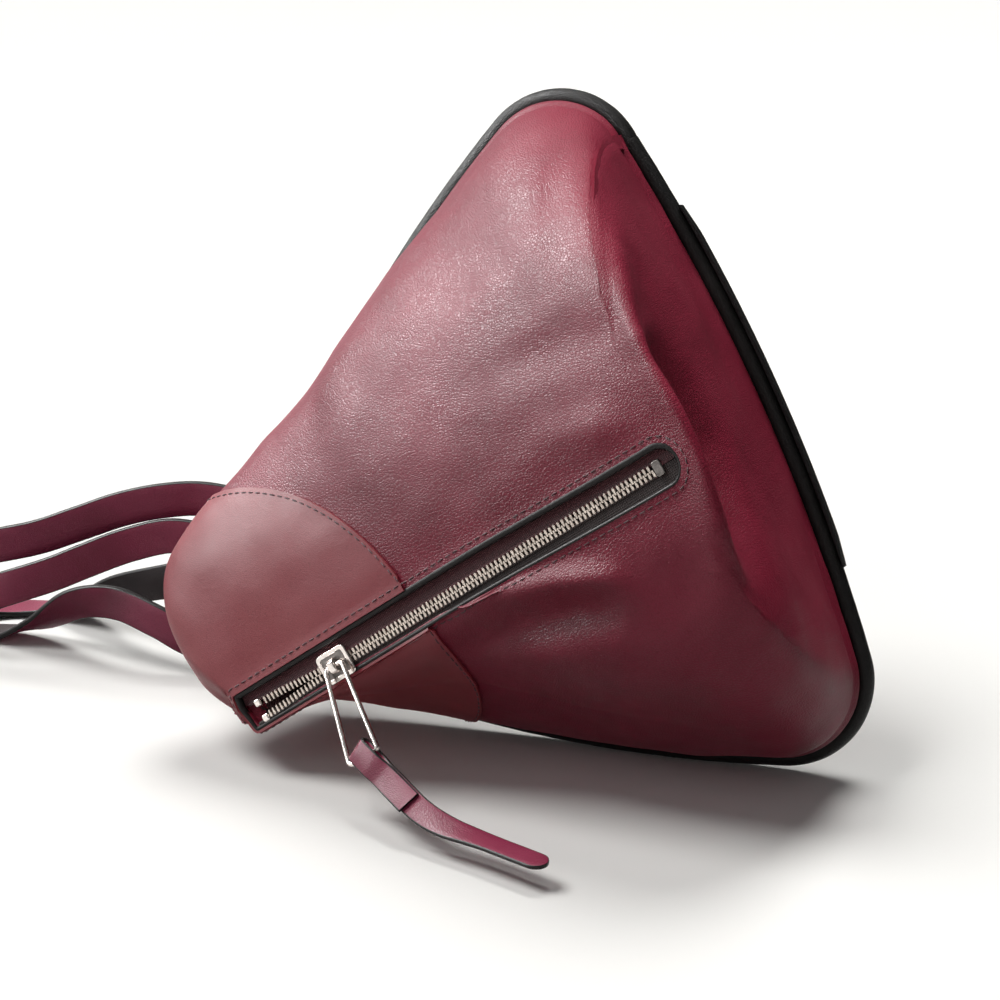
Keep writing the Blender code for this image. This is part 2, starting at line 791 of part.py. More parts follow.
def ribbon(name, places, sides, width, thickness, collection, parent, look, round_end=0):
    """A flat strip with a centre line, a width direction at each place, and a round last end."""
    points = []
    faces = []
    widths = [width / 2] * len(places)
    last = len(places) - 1
    travelled = [0]
    for i in range(last):
        travelled.append(travelled[-1] + (places[i + 1] - places[i]).length)
    for i in range(len(places)):
        left = travelled[-1] - travelled[i]
        if round_end and left < width / 2:
            drop = 1 - left / (width / 2)
            widths[i] = width / 2 * max(math.sqrt(max(1 - drop * drop, 0)), round_end)
    for i, place in enumerate(places):
        along = (places[min(i + 1, last)] - places[max(i - 1, 0)]).normalized()
        side = (sides[i] - along * sides[i].dot(along)).normalized()
        up = side.cross(along)
        for a, b in ((-1, -1), (1, -1), (1, 1), (-1, 1)):
            points.append(place + side * (a * widths[i]) + up * (b * thickness / 2))
    for i in range(last):
        for k in range(4):
            m = (k + 1) % 4
            faces.append((4 * i + k, 4 * i + 4 + k, 4 * i + 4 + m, 4 * i + m))
    faces.append((0, 1, 2, 3))
    faces.append((4 * last + 3, 4 * last + 2, 4 * last + 1, 4 * last))
    return mesh_object(name, points, faces, collection, parent, look)


def make_pull(ring, ring_reach, collection, looks):
    """One strip, folded round the ring's far bar: a short top layer, the fold and a long layer."""
    hinge = empty("pull_frame", collection, ring)
    hinge.location = (0, ring_reach, 0)
    # The loop is longer than the bar is thick, because the strip crosses the bar at an angle
    radius = ring_wire_radius + run_gap + pull_thickness / 2
    layer = (pull_thickness + seam_gap) / 2
    closed_from = 3 * pull_loop_length
    fold = []
    for step in range(fold_steps + 1):
        fold.append((pull_fold_length + (closed_from - pull_fold_length) * step / fold_steps, layer))
    for step in range(1, fold_steps + 1):
        share = step / (fold_steps + 1)
        rise = layer + (radius - layer) * smooth_share(share)
        fold.append((closed_from + (pull_loop_length - closed_from) * share, rise))
    fold.append((pull_loop_length, radius))
    fold.append((0, radius))
    half_turn = []
    for step in range(half_turn_steps + 1):
        angle = math.pi * (1 / 2 + step / half_turn_steps)
        half_turn.append((radius * math.cos(angle) - pull_loop_end, radius * math.sin(angle)))
    under = [(along, -rise) for along, rise in fold[::-1]]
    places = [(along, 0, rise) for along, rise in fold + half_turn + under]
    # Past the fold the long layer bends sideways and runs straight to its round end
    along, across, rise = places[-1]
    angle = 0
    for step in range(pull_steps):
        angle += pull_bend / pull_steps
        along += pull_bend_length / pull_steps * math.cos(angle)
        across += pull_bend_length / pull_steps * math.sin(angle)
        places.append((along, across, rise))
    for share in pull_run_shares:
        reach = share * pull_straight_length
        places.append((along + reach * math.cos(angle), across + reach * math.sin(angle), rise))
    turned = Matrix.Rotation(pull_yaw, 3, "Z")
    shift = Vector((-pull_shift, 0, 0))
    route = [turned @ Vector((-across, along, rise)) + shift for along, across, rise in places]
    # The strip lies in its own plane, so its width is square to its run there
    sides = []
    for i, place in enumerate(route):
        run = route[min(i + 1, len(route) - 1)] - route[max(i - 1, 0)]
        flat_run = Vector((run.x, run.y, 0))
        if i < len(fold) + len(half_turn) + len(under) - 1:
            flat_run = turned @ Vector((0, 1, 0))
        sides.append(Vector((flat_run.y, -flat_run.x, 0)).normalized())
    ribbon("zip_pull", route, sides, pull_width, pull_thickness, collection, hinge, looks["leather"],
           pull_tip_share)
    return hinge


# Straps and tabs


def bag_to_floor(x, y, z):
    return to_floor(Vector((x, y, z)))


def smooth_route(points, steps):
    """More points on a smooth curve through the given ones."""
    made = []
    count = len(points)
    for i in range(count - 1):
        a, b, c, d = (points[min(max(i + k, 0), count - 1)] for k in (-1, 0, 1, 2))
        for step in range(steps):
            t = step / steps
            made.append(tuple(
                0.5 * (2 * q + (r - p) * t + (2 * p - 5 * q + 4 * r - s) * t * t
                       + (3 * q - p - 3 * r + s) * t ** 3)
                for p, q, r, s in zip(a, b, c, d)))
    made.append(points[-1])
    return made


def strap_places(start, start_side, shares, finish, finish_side):
    """The strap's centre line on and over the floor, with its width direction at each point."""
    middle = [(*(share * strap_run_length for share in row[:3]), row[3]) for row in shares]
    places = [Vector(place) for place in start]
    sides = [Vector(start_side)] * len(start)
    for index, (x, y, z, turn) in enumerate(middle):
        before = middle[max(index - 1, 0)]
        after = middle[min(index + 1, len(middle) - 1)]
        along = (Vector(after[:3]) - Vector(before[:3])).normalized()
        upright = Vector((0, 0, 1))
        upright = (upright - along * upright.dot(along)).normalized()
        across = along.cross(upright)
        angle = math.radians(turn)
        places.append(Vector((x, y, z)))
        sides.append(upright * math.cos(angle) + across * math.sin(angle))
    places += [Vector(place) for place in finish]
    sides += [Vector(finish_side)] * len(finish)
    for index in range(1, len(sides)):
        if sides[index].dot(sides[index - 1]) < 0:
            sides[index] = -sides[index]
    joined = [tuple(place) + tuple(side) for place, side in zip(places, sides)]
    # The two seats stay straight, and the free run between them is smoothed
    steps = strap_steps
    route = joined[:1] + smooth_route(joined, steps)[steps:-steps] + joined[-1:]
    places = [Vector(row[:3]) for row in route]
    sides = [Vector(row[3:]) for row in route]
    # No edge of the strap sinks through the floor
    for index, place in enumerate(places):
        after = places[min(index + 1, len(places) - 1)]
        before = places[max(index - 1, 0)]
        along = (after - before).normalized()
        side = (sides[index] - along * sides[index].dot(along)).normalized()
        up = side.cross(along)
        lowest = place.z - abs(side.z) * strap_width / 2 - abs(up.z) * strap_thickness / 2
        if lowest < floor_gap:
            place.z += floor_gap - lowest
    return places, sides


def make_tabs_and_straps(back, collection, bag, floor, looks):
    """Tabs on the outside of the back panel, each with a strap end sewn on it."""
    tab_height = back - seam_gap - tab_thickness / 2
    strap_height = tab_height - tab_thickness / 2 - seam_gap - strap_thickness / 2
    from_x = panel_height - top_tab_length
    outline_points = [point for point in outline(top_tab_inset) if point[0] > from_x]
    plate("top_tab", outline_points, tab_thickness, tab_height, collection, bag, looks["leather"])
    top_along = Vector((math.cos(strap_angle), math.sin(strap_angle)))
    top_across = Vector((-top_along.y, top_along.x))
    top_middle = Vector((panel_height - strap_margin, -strap_side_offset))
    for side, label, shares in ((-1, "upper", upper_strap_shares), (1, "lower", lower_strap_shares)):
        corner = Vector((base_tab_margin, -side * (panel_width / 2 - base_tab_inset)))
        turn = side * base_tab_angle
        along = Vector((math.cos(turn), math.sin(turn)))
        across = Vector((-along.y, along.x))
        points = []
        for x, y in rounded_rectangle(base_tab_length, base_tab_width, tab_corner):
            place = corner + along * x + across * y
            points.append(tuple(place))
        tab_label = "lower" if side < 0 else "upper"
        plate("base_tab_" + tab_label, points, tab_thickness, tab_height, collection, bag, looks["leather"])
        start = []
        finish = []
        for reach in (-strap_seat, strap_seat):
            place = top_middle + top_across * side * strap_spacing / 2 + top_along * reach
            start.append(bag_to_floor(place.x, place.y, strap_height))
            place = corner - along * reach
            finish.append(bag_to_floor(place.x, place.y, strap_height))
        start_side = ROTATION @ Vector((top_across.x, top_across.y, 0))
        finish_side = ROTATION @ Vector((across.x, across.y, 0))
        places, sides = strap_places(start, start_side, shares, finish, finish_side)
        ribbon("strap_" + label, places, sides, strap_width, strap_thickness, collection, floor,
               looks["leather"])


def settle(collection, frames):
    """Moves the whole bag so that the middle of its box's underside is at the origin."""
    bpy.context.view_layer.update()
    graph = bpy.context.evaluated_depsgraph_get()
    low = Vector((math.inf,) * 3)
    high = Vector((-math.inf,) * 3)
    for made in collection.objects:
        if made.type == "EMPTY":
            continue
        solid = made.evaluated_get(graph)
        mesh = solid.to_mesh()
        for vertex in mesh.vertices:
            place = solid.matrix_world @ vertex.co
            low = Vector(min(pair) for pair in zip(low, place))
            high = Vector(max(pair) for pair in zip(high, place))
        solid.to_mesh_clear()
    shift = Vector(((low.x + high.x) / 2, (low.y + high.y) / 2, low.z))
    for frame in frames:
        frame.location -= shift


def main():
    for old in list(bpy.data.objects):
        bpy.data.objects.remove(old)
    parts = bpy.data.collections.new("handbag")
    helpers = bpy.data.collections.new("helpers")
    helpers.hide_render = True
    bpy.context.scene.collection.children.link(parts)
    bpy.context.scene.collection.children.link(helpers)
    looks = {
        "leather": material("burgundy_leather", (0.21, 0.040, 0.065), 0.45),
        "smooth": material("smooth_leather", (0.23, 0.055, 0.065), 0.5),
        "black": material("black_edge", (0.012, 0.010, 0.010), 0.5),
        "board": material("stiffener_board", (0.30, 0.24, 0.18), 0.9),
        "lining": material("lining_cloth", (0.16, 0.07, 0.07), 0.9),
        "tape": material("zip_tape", (0.12, 0.04, 0.05), 0.8),
        "teeth": material("zip_teeth", (0.45, 0.40, 0.36), 0.35, 0.9),
        "nickel": material("pale_nickel", (0.78, 0.72, 0.68), 0.25, 1.0),
    }
    floor = empty("floor_frame", parts)
    bag = empty("bag_frame", parts)
    bag.matrix_world = Matrix.Translation((0, 0, REST_HEIGHT)) @ ROTATION.to_4x4()
    zip_frame = empty("zip_frame", parts, bag)
    columns = Matrix((ZIP_X, ZIP_Y, ZIP_Z)).transposed()
    zip_frame.matrix_local = Matrix.Translation(ZIP_START) @ columns.to_4x4()
    back = make_panel(parts, bag, looks)
    make_piping(parts, bag, looks)
    # Under the patch the stations lie closer together
    ends = patch_ends()
    halves = [i + 1 / 2 for i in range(STATIONS) if ends[0] < i + 1 / 2 < ends[1]]
    stations = sorted([*range(STATIONS), *halves, *ends])
    rows = make_body(stations, parts, bag, looks)
    outer = moved_rows(rows, -patch_gap - patch_thickness)
    first, last = (stations.index(end) for end in ends)
    make_patch(outer[first:last + 1], parts, bag, looks)
    height = make_zip(parts, zip_frame, looks)
    make_bottom_stop(height, parts, zip_frame, looks)
    carrier, axis_height = make_slider(height, parts, zip_frame, looks)
    ring, reach = make_ring(carrier, axis_height, parts, looks)
    make_pull(ring, reach, parts, looks)
    make_tabs_and_straps(back, parts, bag, floor, looks)
    settle(parts, (floor, bag))


main()
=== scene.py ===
import math

import bpy
import numpy as np
from mathutils import Matrix, Vector, noise


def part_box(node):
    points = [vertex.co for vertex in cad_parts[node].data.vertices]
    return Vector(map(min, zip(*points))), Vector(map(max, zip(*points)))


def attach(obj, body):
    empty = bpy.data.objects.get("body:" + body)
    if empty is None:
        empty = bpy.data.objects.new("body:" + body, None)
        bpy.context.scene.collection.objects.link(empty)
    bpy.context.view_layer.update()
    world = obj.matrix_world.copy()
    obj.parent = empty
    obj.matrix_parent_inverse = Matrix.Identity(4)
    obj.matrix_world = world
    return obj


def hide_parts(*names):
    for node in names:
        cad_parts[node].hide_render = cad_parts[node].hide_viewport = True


# The looks of a leather handbag that lies on one long side. Lengths are in metres.
# The bag's own axes are X from the base to the top end, Y across the panel towards the side that
# lies on the floor, and Z from the back panel out to the front.

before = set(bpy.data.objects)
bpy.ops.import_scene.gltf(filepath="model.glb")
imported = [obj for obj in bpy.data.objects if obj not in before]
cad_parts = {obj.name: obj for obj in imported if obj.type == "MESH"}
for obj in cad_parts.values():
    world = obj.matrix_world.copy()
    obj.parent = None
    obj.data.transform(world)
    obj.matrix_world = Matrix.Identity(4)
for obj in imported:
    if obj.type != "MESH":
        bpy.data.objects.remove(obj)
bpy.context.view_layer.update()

# The panel's outline, as in the solids
panel_width = 0.310
panel_height = 0.255
corner_radius = 0.038
top_radius = 0.039
base_arc_radius = 0.835
side_arc_radius = 0.620
section_steps = (8, 5, 11, 6, 11, 5)
seam_gap = 0.0003
run_gap = 0.0004
floor_gap = 0.0002

# Panel, piping and base strip
panel_leather_thickness = 0.0022
panel_bevel = 0.0007
piping_radius = 0.0040
piping_sides = 20
piping_unevenness = 0.03
piping_uneven_scale = 150
panel_sink = 0.0004
base_strip_thickness = 0.0016
base_strip_width = 0.0070
base_strip_length = 0.168
strip_steps = 60
strip_taper = 8
strip_end_share = 0.35
strip_bevel = 0.0005

# Body
leather_thickness = 0.0018
lining_thickness = 0.0008
lining_draw = 0.045
lining_middle = (0.42, 0.45)
body_seam_height = 0.0037
body_seam_inset = 0.0024
square_shares = (2.2, 5.0, 2.2, 2.0, 2.0, 1.9, 2.2, 3.0, 3.0, 2.2, 1.9, 1.9)
bulge_shares = (0.0, -0.38, 0.0, 0.0, -0.2, -0.65, 0.1, 1.0, 1.35, 0.3, -0.25, -0.1)
sag_shares = (0.0, 0.0, 0.0, 0.0, 0.2, 1.0, 0.4, 0.0, 0.0, 0.0, 0.0, 0.0)
body_bulge = 0.0205
body_sag = 0.0080
sag_reach = 0.060
slot_band = 0.0055
lower_band_fade = 0.0049
slot_band_drop = 0.0006
slot_clear_depth = 0.0100
slot_fade_depth = 0.0300
band_share = 0.1
# The swell beside the piping and the dip after it, as height, distance from the seam and width
seam_rolls = ((0.0013, 0.0042, 0.0026), (-0.0008, 0.0092, 0.0024))
# Soft unevenness, as how fine it is and its height, which fades towards the seam and the slot
uneven_swells = ((24, 0.0016), (62, 0.0005))
uneven_fade = 0.02
uneven_clear_share = 0.35

# Patch
patch_thickness = 0.0011
patch_lift = 0.0005
patch_radius = 0.0940
patch_seam_height = 0.0060
patch_thread_inset = 0.0026

# Zip
zip_base_margin = 0.0290
zip_base_drop = 0.0155
zip_base_depth = 0.1180
zip_top_margin = 0.0125
zip_top_drop = 0.0385
zip_top_depth = 0.0738
slot_half_width = 0.0088
upper_slot_spread = 0.0022
lower_slot_spread = -0.0026
slot_past_stops = 0.0068
slot_end_reach = 0.0012
open_edge_drop = 0.0020
open_from_share = 0.45
open_along_share = 0.35
open_across_share = 0.7
open_band_drop = 0.0050
# The section of the slot's painted edge, across and up, and how much thinner it is on its lower side
slot_edge_profile = [
    (-0.0004, 0.0004), (0.0002, 0.0007), (0.0009, 0.0006), (0.0015, 0.0001),
    (0.0016, -0.0009), (0.0012, -0.0019), (0.0004, -0.0021), (-0.0002, -0.0017),
]
slot_edge_thinning = 0.35
slot_thread_inset = 0.0030
tape_thickness = 0.0007
tape_drop = 0.0006
tape_under_leather = 0.0008
tape_past_end = 0.0015
tape_under_chain = 0.0004
tape_cord_radius = 0.0009
tape_cord_step = 0.002
tape_cord_gap = 0.001
chain_thickness = 0.0024
chain_half_width = 0.0033
chain_spread = 0.0020
tooth_pitch = 0.0022
tooth_root = 0.00105
tooth_foot_inset = 0.0006
# Half a tooth from the front, from its wide foot on the tape over its neck to its head, across and along
tooth_half = [
    (0.0004557, 0.0027), (0.000651, 0.0023), (0.000651, 0.0010), (0.00044, 0.0006),
    (0.00044, 0.0002), (0.000528, -0.0001), (0.000528, -0.00036), (0.0003168, -0.0006),
]
tooth_face_share = 0.84
tooth_bevel = 0.0003
stop_length = 0.0036
stop_thickness = 0.0030
stop_width = 0.0034
stop_corner = 0.0010
stop_bevel = 0.0007
bottom_stop_length = 0.0040
clip_thickness = 0.0010
clip_bevel = 0.0004
slider_from_stops = 0.0445

# Slider, ring and pull
slider_length = 0.0156
slider_half_width = 0.0066
slider_rim = 0.0019
slider_plate = 0.0011
slider_corner = 0.0022
slider_wall = 0.0010
slider_bevel = 0.00025
frame_height = 0.0005
# The thin dark sheet in the slider's frame, which paints shade into its recess
recess_shade_thickness = 0.00015
wall_drop = 0.0004
bridge_length = 0.0066
bridge_width = 0.0034
bridge_wall = 0.0012
bridge_squareness = 1.35
ring_wire_radius = 0.0011
ring_look_radius = 0.00112
ring_length = 0.0440
ring_near_width = 0.0114
ring_far_width = 0.0182
ring_corner = 0.0018
ring_hang_angle = math.radians(70)
pull_width = 0.0108
pull_thickness = 0.0017
pull_fold_length = 0.0300
pull_loop_end = 0.0029
pull_loop_length = 0.0043
pull_yaw = math.radians(27)
pull_shift = 0.0011
pull_bend = math.radians(22)
pull_bend_length = 0.0260
pull_straight_length = 0.0430
pull_roll = math.radians(-64)
fold_roll = math.radians(-28)
pull_look_thickness = 0.0018
pull_tail_drop = 0.0035
pull_tail_haste = 1.6
pull_tip_share = 0.12

# Straps and tabs
strap_width = 0.0165
strap_thickness = 0.0028
strap_seat = 0.0150
strap_spacing = 0.0190
strap_angle = math.radians(-38)
strap_margin = 0.0430
strap_side_offset = 0.0040
tab_thickness = 0.0022
tab_corner = 0.0070
tab_bevel = 0.0006
top_tab_length = 0.0780
top_tab_inset = 0.0120
base_tab_length = 0.0400
base_tab_width = 0.0330
base_tab_margin = 0.0420
base_tab_inset = 0.0420
base_tab_angle = math.radians(28)

# Where the straps run, as shares of their length along X, Y and Z, with their turn from upright in degrees
strap_run_length = 0.400
upper_strap_shares = (
    (-0.562, 0.164, 0.194, 8), (-0.620, 0.188, 0.200, 0), (-0.670, 0.197, 0.195, 0),
    (-0.720, 0.204, 0.182, 0), (-0.770, 0.208, 0.163, 0), (-0.820, 0.210, 0.145, 0),
    (-0.880, 0.216, 0.130, 4), (-0.945, 0.232, 0.108, 12), (-0.990, 0.250, 0.072, 40),
    (-0.998, 0.260, 0.034, 70), (-0.955, 0.262, 0.008, 88), (-0.885, 0.256, 0.006, 90),
    (-0.830, 0.242, 0.024, 58), (-0.780, 0.220, 0.058, 20), (-0.730, 0.192, 0.070, 2),
    (-0.680, 0.162, 0.060, 0), (-0.632, 0.146, 0.040, 10), (-0.560, 0.148, 0.022, 60),
    (-0.430, 0.150, 0.005, 90), (-0.280, 0.130, 0.005, 90), (-0.130, 0.082, 0.012, 88),
)
lower_strap_shares = (
    (-0.545, 0.131, 0.128, 8), (-0.610, 0.162, 0.154, 0), (-0.658, 0.176, 0.160, 0),
    (-0.710, 0.184, 0.146, 0), (-0.757, 0.184, 0.128, 0), (-0.800, 0.184, 0.110, 0),
    (-0.850, 0.188, 0.092, 4), (-0.900, 0.200, 0.072, 22), (-0.942, 0.230, 0.052, 55),
    (-0.952, 0.272, 0.036, 80), (-0.925, 0.312, 0.016, 90), (-0.865, 0.332, 0.006, 90),
    (-0.795, 0.312, 0.018, 74), (-0.735, 0.262, 0.058, 25), (-0.672, 0.216, 0.088, 4),
    (-0.612, 0.188, 0.112, -8), (-0.530, 0.160, 0.180, -30), (-0.430, 0.152, 0.300, -45),
    (-0.320, 0.152, 0.440, -50),
)

# How the bag lies, and the camera that looks at it
roll_angle = math.radians(29.5)
lean_angle = math.radians(14.0)
yaw_angle = math.radians(17.0)
camera_lens = 102.1
camera_sensor = 36.0
camera_pitch = math.radians(20.27)
camera_distance = 1.2144
camera_target_side = -0.114
camera_target_height = 0.1074

# Lights as name, direction, strength, width in degrees and colour, and the floor
suns = (
    ("key", (-0.58, 0.02, 1.0), 1.80, 26, (1, 0.99, 0.97)),
    ("rear_key", (0.10, 0.42, 1.0), 1.70, 26, (1, 0.99, 0.97)),
    ("fill", (-0.30, -0.90, 0.75), 0.26, 60, (1, 1, 1)),
)
# Lamps that add highlights, as name, direction, distance, size and power
sheen_lamps = (
    ("upper_sheen", (-0.72, 0.20, 0.66), 1.5, 0.55, 62.0),
    ("left_sheen", (-0.95, -0.16, 0.28), 1.6, 0.45, 22.0),
)
world_strength = 0.05
floor_near = -3.0
floor_step = 0.25
floor_rows = 21
floor_half_width = 4.0
backdrop_bend = 1.2
backdrop_height = 4.0
backdrop_glow = 0.35
backdrop_glow_from_to = (0.2, 2.4)
floor_colours = ((0.955, 0.955, 0.94), (0.97, 0.97, 0.955))
card_corners = [(0.45, -0.20), (0.36, 0.10), (0.22, 0.32), (-0.05, 0.46)]
card_height = 0.7
card_colour = (0.03, 0.028, 0.028)

# Stitches
thread_radius = 0.00032
stitch_length = 0.0030
stitch_gap = 0.0010
stitch_shares = (-0.5, -0.42, -0.2, 0.0, 0.2, 0.42, 0.5)
thread_arch = 1.5
thread_sink = 0.9
thread_end_scale = 0.45
wide_thread_inset = 0.004
narrow_thread_inset = 0.003

# How fine the shapes are
columns_a_step = 7
body_rings = 90
ring_crowding = 1.15
band_steps = 4
patch_columns = 60
tape_steps = 90
tape_end_steps = 12
tape_cord_sides = 10
bridge_steps = 24
ring_corner_steps = 8
ring_leg_steps = 10
ring_sides = 16
pull_fold_steps = 12
pull_turn_steps = 24
pull_bend_steps = 24
strap_steps = 12
thread_sides = 6
backdrop_steps = 12


# Small helpers


def smooth_share(t):
    t = min(max(t, 0), 1)
    return t * t * (3 - 2 * t)


def linked(name, data):
    """A new object in the scene."""
    made = bpy.data.objects.new(name, data)
    bpy.context.scene.collection.objects.link(made)
    return made


def mesh_from(name, points, faces, finishes, place=None, angle=40):
    """A smooth-shaded mesh object, made in its own frame and put in its place.

    The finishes read the points of its own frame, so that weave and grain run along the piece.
    """
    mesh = bpy.data.meshes.new(name)
    mesh.from_pydata([tuple(p) for p in points], [], faces)
    local = mesh.attributes.new("local", "FLOAT_VECTOR", "POINT")
    local.data.foreach_set("vector", [value for p in points for value in p])
    if place is not None:
        mesh.transform(place)
    for finish in finishes:
        mesh.materials.append(finish)
    mesh.shade_smooth()
    mesh.set_sharp_from_angle(angle=math.radians(angle))
    return linked(name, mesh)


def joined(parts):
    """Several lists of points and faces as one."""
    points = []
    faces = []
    for part_points, part_faces in parts:
        start = len(points)
        points.extend(part_points)
        faces.extend(tuple(start + i for i in face) for face in part_faces)
    return points, faces


def carry(made, body, slot, *nodes):
    """The piece rides on a body and stands for the named nodes; its slot is not used."""
    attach(made, body)
    if nodes:
        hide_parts(*nodes)


def piece(name, shape, finish, place, body, slot, *nodes, bevel=0, segments=3, angle=40):
    """A piece from points and faces, with soft edges where it has a bevel, carried by a body."""
    made = mesh_from(name, *shape, [looks[finish]], place, angle)
    if bevel:
        soft = made.modifiers.new("Bevel", "BEVEL")
        soft.width = bevel
        soft.segments = segments
        soft.limit_method = "ANGLE"
        soft.angle_limit = math.radians(40)
    carry(made, body, slot, *nodes)


def quads(rows, columns, closed_rows, closed_columns):
    """The faces of a grid of points, which may close on itself either way."""
    faces = []
    for i in range(rows if closed_rows else rows - 1):
        a, b = i * columns, (i + 1) % rows * columns
        for j in range(columns if closed_columns else columns - 1):
            k = (j + 1) % columns
            faces.append((a + j, a + k, b + k, b + j))
    return faces


def layered(*layers):
    """A closed solid through outlines at several heights, as points and faces."""
    count = len(layers[0][0])
    last = (len(layers) - 1) * count
    points = [(x, y, z) for ring, z in layers for x, y in ring]
    faces = [tuple(reversed(range(count))), tuple(range(last, last + count))]
    return points, faces + quads(len(layers), count, False, True)


def slab(ring, low, high):
    """A closed plate between two heights, as points and faces."""
    return layered((ring, low), (ring, high))


def direction(route, i, closed=False):
    """The way that a route runs at one of its points."""
    last = len(route) - 1
    if closed:
        return (route[(i + 1) % len(route)] - route[i - 1]).normalized()
    return (route[min(i + 1, last)] - route[max(i - 1, 0)]).normalized()


def swept(route, profile, closed, uprights=None, scales=None):
    """A profile of (across, up) points carried along a route, as points and faces."""
    sides = len(profile)
    points = []
    for i, place in enumerate(route):
        along = direction(route, i, closed)
        across = along.cross(uprights[i] if uprights else Vector((0, 0, 1))).normalized()
        upright = across.cross(along)
        scale = scales[i] if scales else 1
        points.extend(place + across * (a * scale) + upright * (u * scale) for a, u in profile)
    faces = quads(len(route), sides, closed, True)
    if not closed:
        faces.append(tuple(reversed(range(sides))))
        faces.append(tuple(range(len(points) - sides, len(points))))
    return points, faces


def round_profile(radius, sides):
    turn = 2 * math.pi / sides
    return [(radius * math.cos(k * turn), radius * math.sin(k * turn)) for k in range(sides)]


def rounded_rectangle(length, width, radius, steps=6):
    """The outline of a rounded rectangle about the origin, anticlockwise."""
    points = []
    for side_x, side_y, quarter in ((1, 1, 0), (-1, 1, 1), (-1, -1, 2), (1, -1, 3)):
        for step in range(steps + 1):
            angle = (quarter + step / steps) * math.pi / 2
            x = side_x * (length / 2 - radius) + radius * math.cos(angle)
            y = side_y * (width / 2 - radius) + radius * math.sin(angle)
            points.append((x, y))
    return points


def run_along(row):
    """How far each point of a row is from its start."""
    return np.r_[0, np.cumsum(np.linalg.norm(np.diff(row, axis=0), axis=1))]


def value_at(at, run, rows):
    """The three values between rows, at a distance along a run."""
    return [np.interp(at, run, rows[:, axis]) for axis in range(3)]


def evenly(route, spacing, closed):
    """Points at an even spacing along a route, each with its direction."""
    places = [np.array(p, float) for p in route]
    if closed:
        places.append(places[0])
    places = np.array(places)
    run = run_along(places)
    count = max(int(run[-1] / spacing), 1)
    at = (np.arange(count) + 0.5) * run[-1] / count
    spots, ahead, behind = (np.stack(value_at(at + shift, run, places), axis=1)
                            for shift in (0, spacing / 4, -spacing / 4))
    return [(Vector(s), Vector(a - b).normalized()) for s, a, b in zip(spots, ahead, behind)]


def stitches(name, route, uprights, slot, closed=True):
    """A row of short threads that dip into the leather at both ends."""
    parts = []
    spots = [np.array(p, float) for p in route]
    for spot, along in evenly(route, stitch_length + stitch_gap, closed):
        nearest = min(range(len(spots)), key=lambda i: np.sum((spots[i] - np.array(spot)) ** 2))
        upright = uprights[nearest]
        thread = []
        scales = []
        for share in stitch_shares:
            lift = thread_radius * (thread_arch * math.cos(math.pi * share) - thread_sink)
            thread.append(spot + along * (share * stitch_length) + upright * lift)
            scales.append(thread_end_scale if abs(share) == 0.5 else 1)
        profile = round_profile(thread_radius, thread_sides)
        parts.append(swept(thread, profile, False, [upright] * len(thread), scales))
    piece(name, joined(parts), "thread", BAG, "bag", slot)


# Materials


def new_material(name, roughness, metallic=0.0, own_frame=True):
    """A material, its nodes, its shader, and the coordinates that its patterns follow."""
    made = bpy.data.materials.new(name)
    made.use_nodes = True
    tree = made.node_tree
    shader = tree.nodes["Principled BSDF"]
    fill(tree, shader, {"Roughness": roughness, "Metallic": metallic})
    if own_frame:
        where = node(tree, "Attribute", "Vector", {}, attribute_name="local")
    else:
        where = node(tree, "TexCoord", "Object", {})
    return made, tree, shader, where


def fill(tree, made, inputs):
    """Links a node's inputs that are given as sockets, and sets the others."""
    for name, value in inputs.items():
        if isinstance(value, bpy.types.NodeSocket):
            tree.links.new(value, made.inputs[name])
        else:
            made.inputs[name].default_value = (*value, 1) if isinstance(value, tuple) else value


def node(tree, kind, output, inputs, **settings):
    """The output of a new shader node."""
    made = tree.nodes.new("ShaderNode" + kind)
    for name, value in settings.items():
        setattr(made, name, value)
    fill(tree, made, inputs)
    return made.outputs[output]


def noise_node(tree, where, scale, detail=3.0, roughness=0.5, distortion=0.0):
    return node(tree, "TexNoise", "Fac", {"Vector": where, "Scale": scale, "Detail": detail,
                                          "Roughness": roughness, "Distortion": distortion})


def ramp(tree, value, stops):
    """A colour ramp from a value: stops are (position, colour)."""
    made = tree.nodes.new("ShaderNodeValToRGB")
    elements = made.color_ramp.elements
    while len(elements) < len(stops):
        elements.new(0.5)
    for element, (position, colour) in zip(elements, stops):
        element.position = position
        element.color = (*colour, 1)
    tree.links.new(value, made.inputs["Fac"])
    return made.outputs["Color"]


def spread(tree, value, low, high, first=0.0, last=1.0):
    return node(tree, "MapRange", "Result", {"Value": value, "From Min": low, "From Max": high,
                                             "To Min": first, "To Max": last})


def mixed(tree, factor, first, second, blend="MIX"):
    inputs = {"Factor": factor, 6: first, 7: second}
    return node(tree, "Mix", 2, inputs, data_type="RGBA", blend_type=blend)


def combined(tree, operation, first, second):
    return node(tree, "Math", 0, {0: first, 1: second}, operation=operation)


def bump(tree, shader, height, distance, strength=1.0, after=None):
    inputs = {"Distance": distance, "Strength": strength, "Height": height}
    if after is not None:
        inputs["Normal"] = after
    normal = node(tree, "Bump", "Normal", inputs)
    tree.links.new(normal, shader.inputs["Normal"])
    return normal


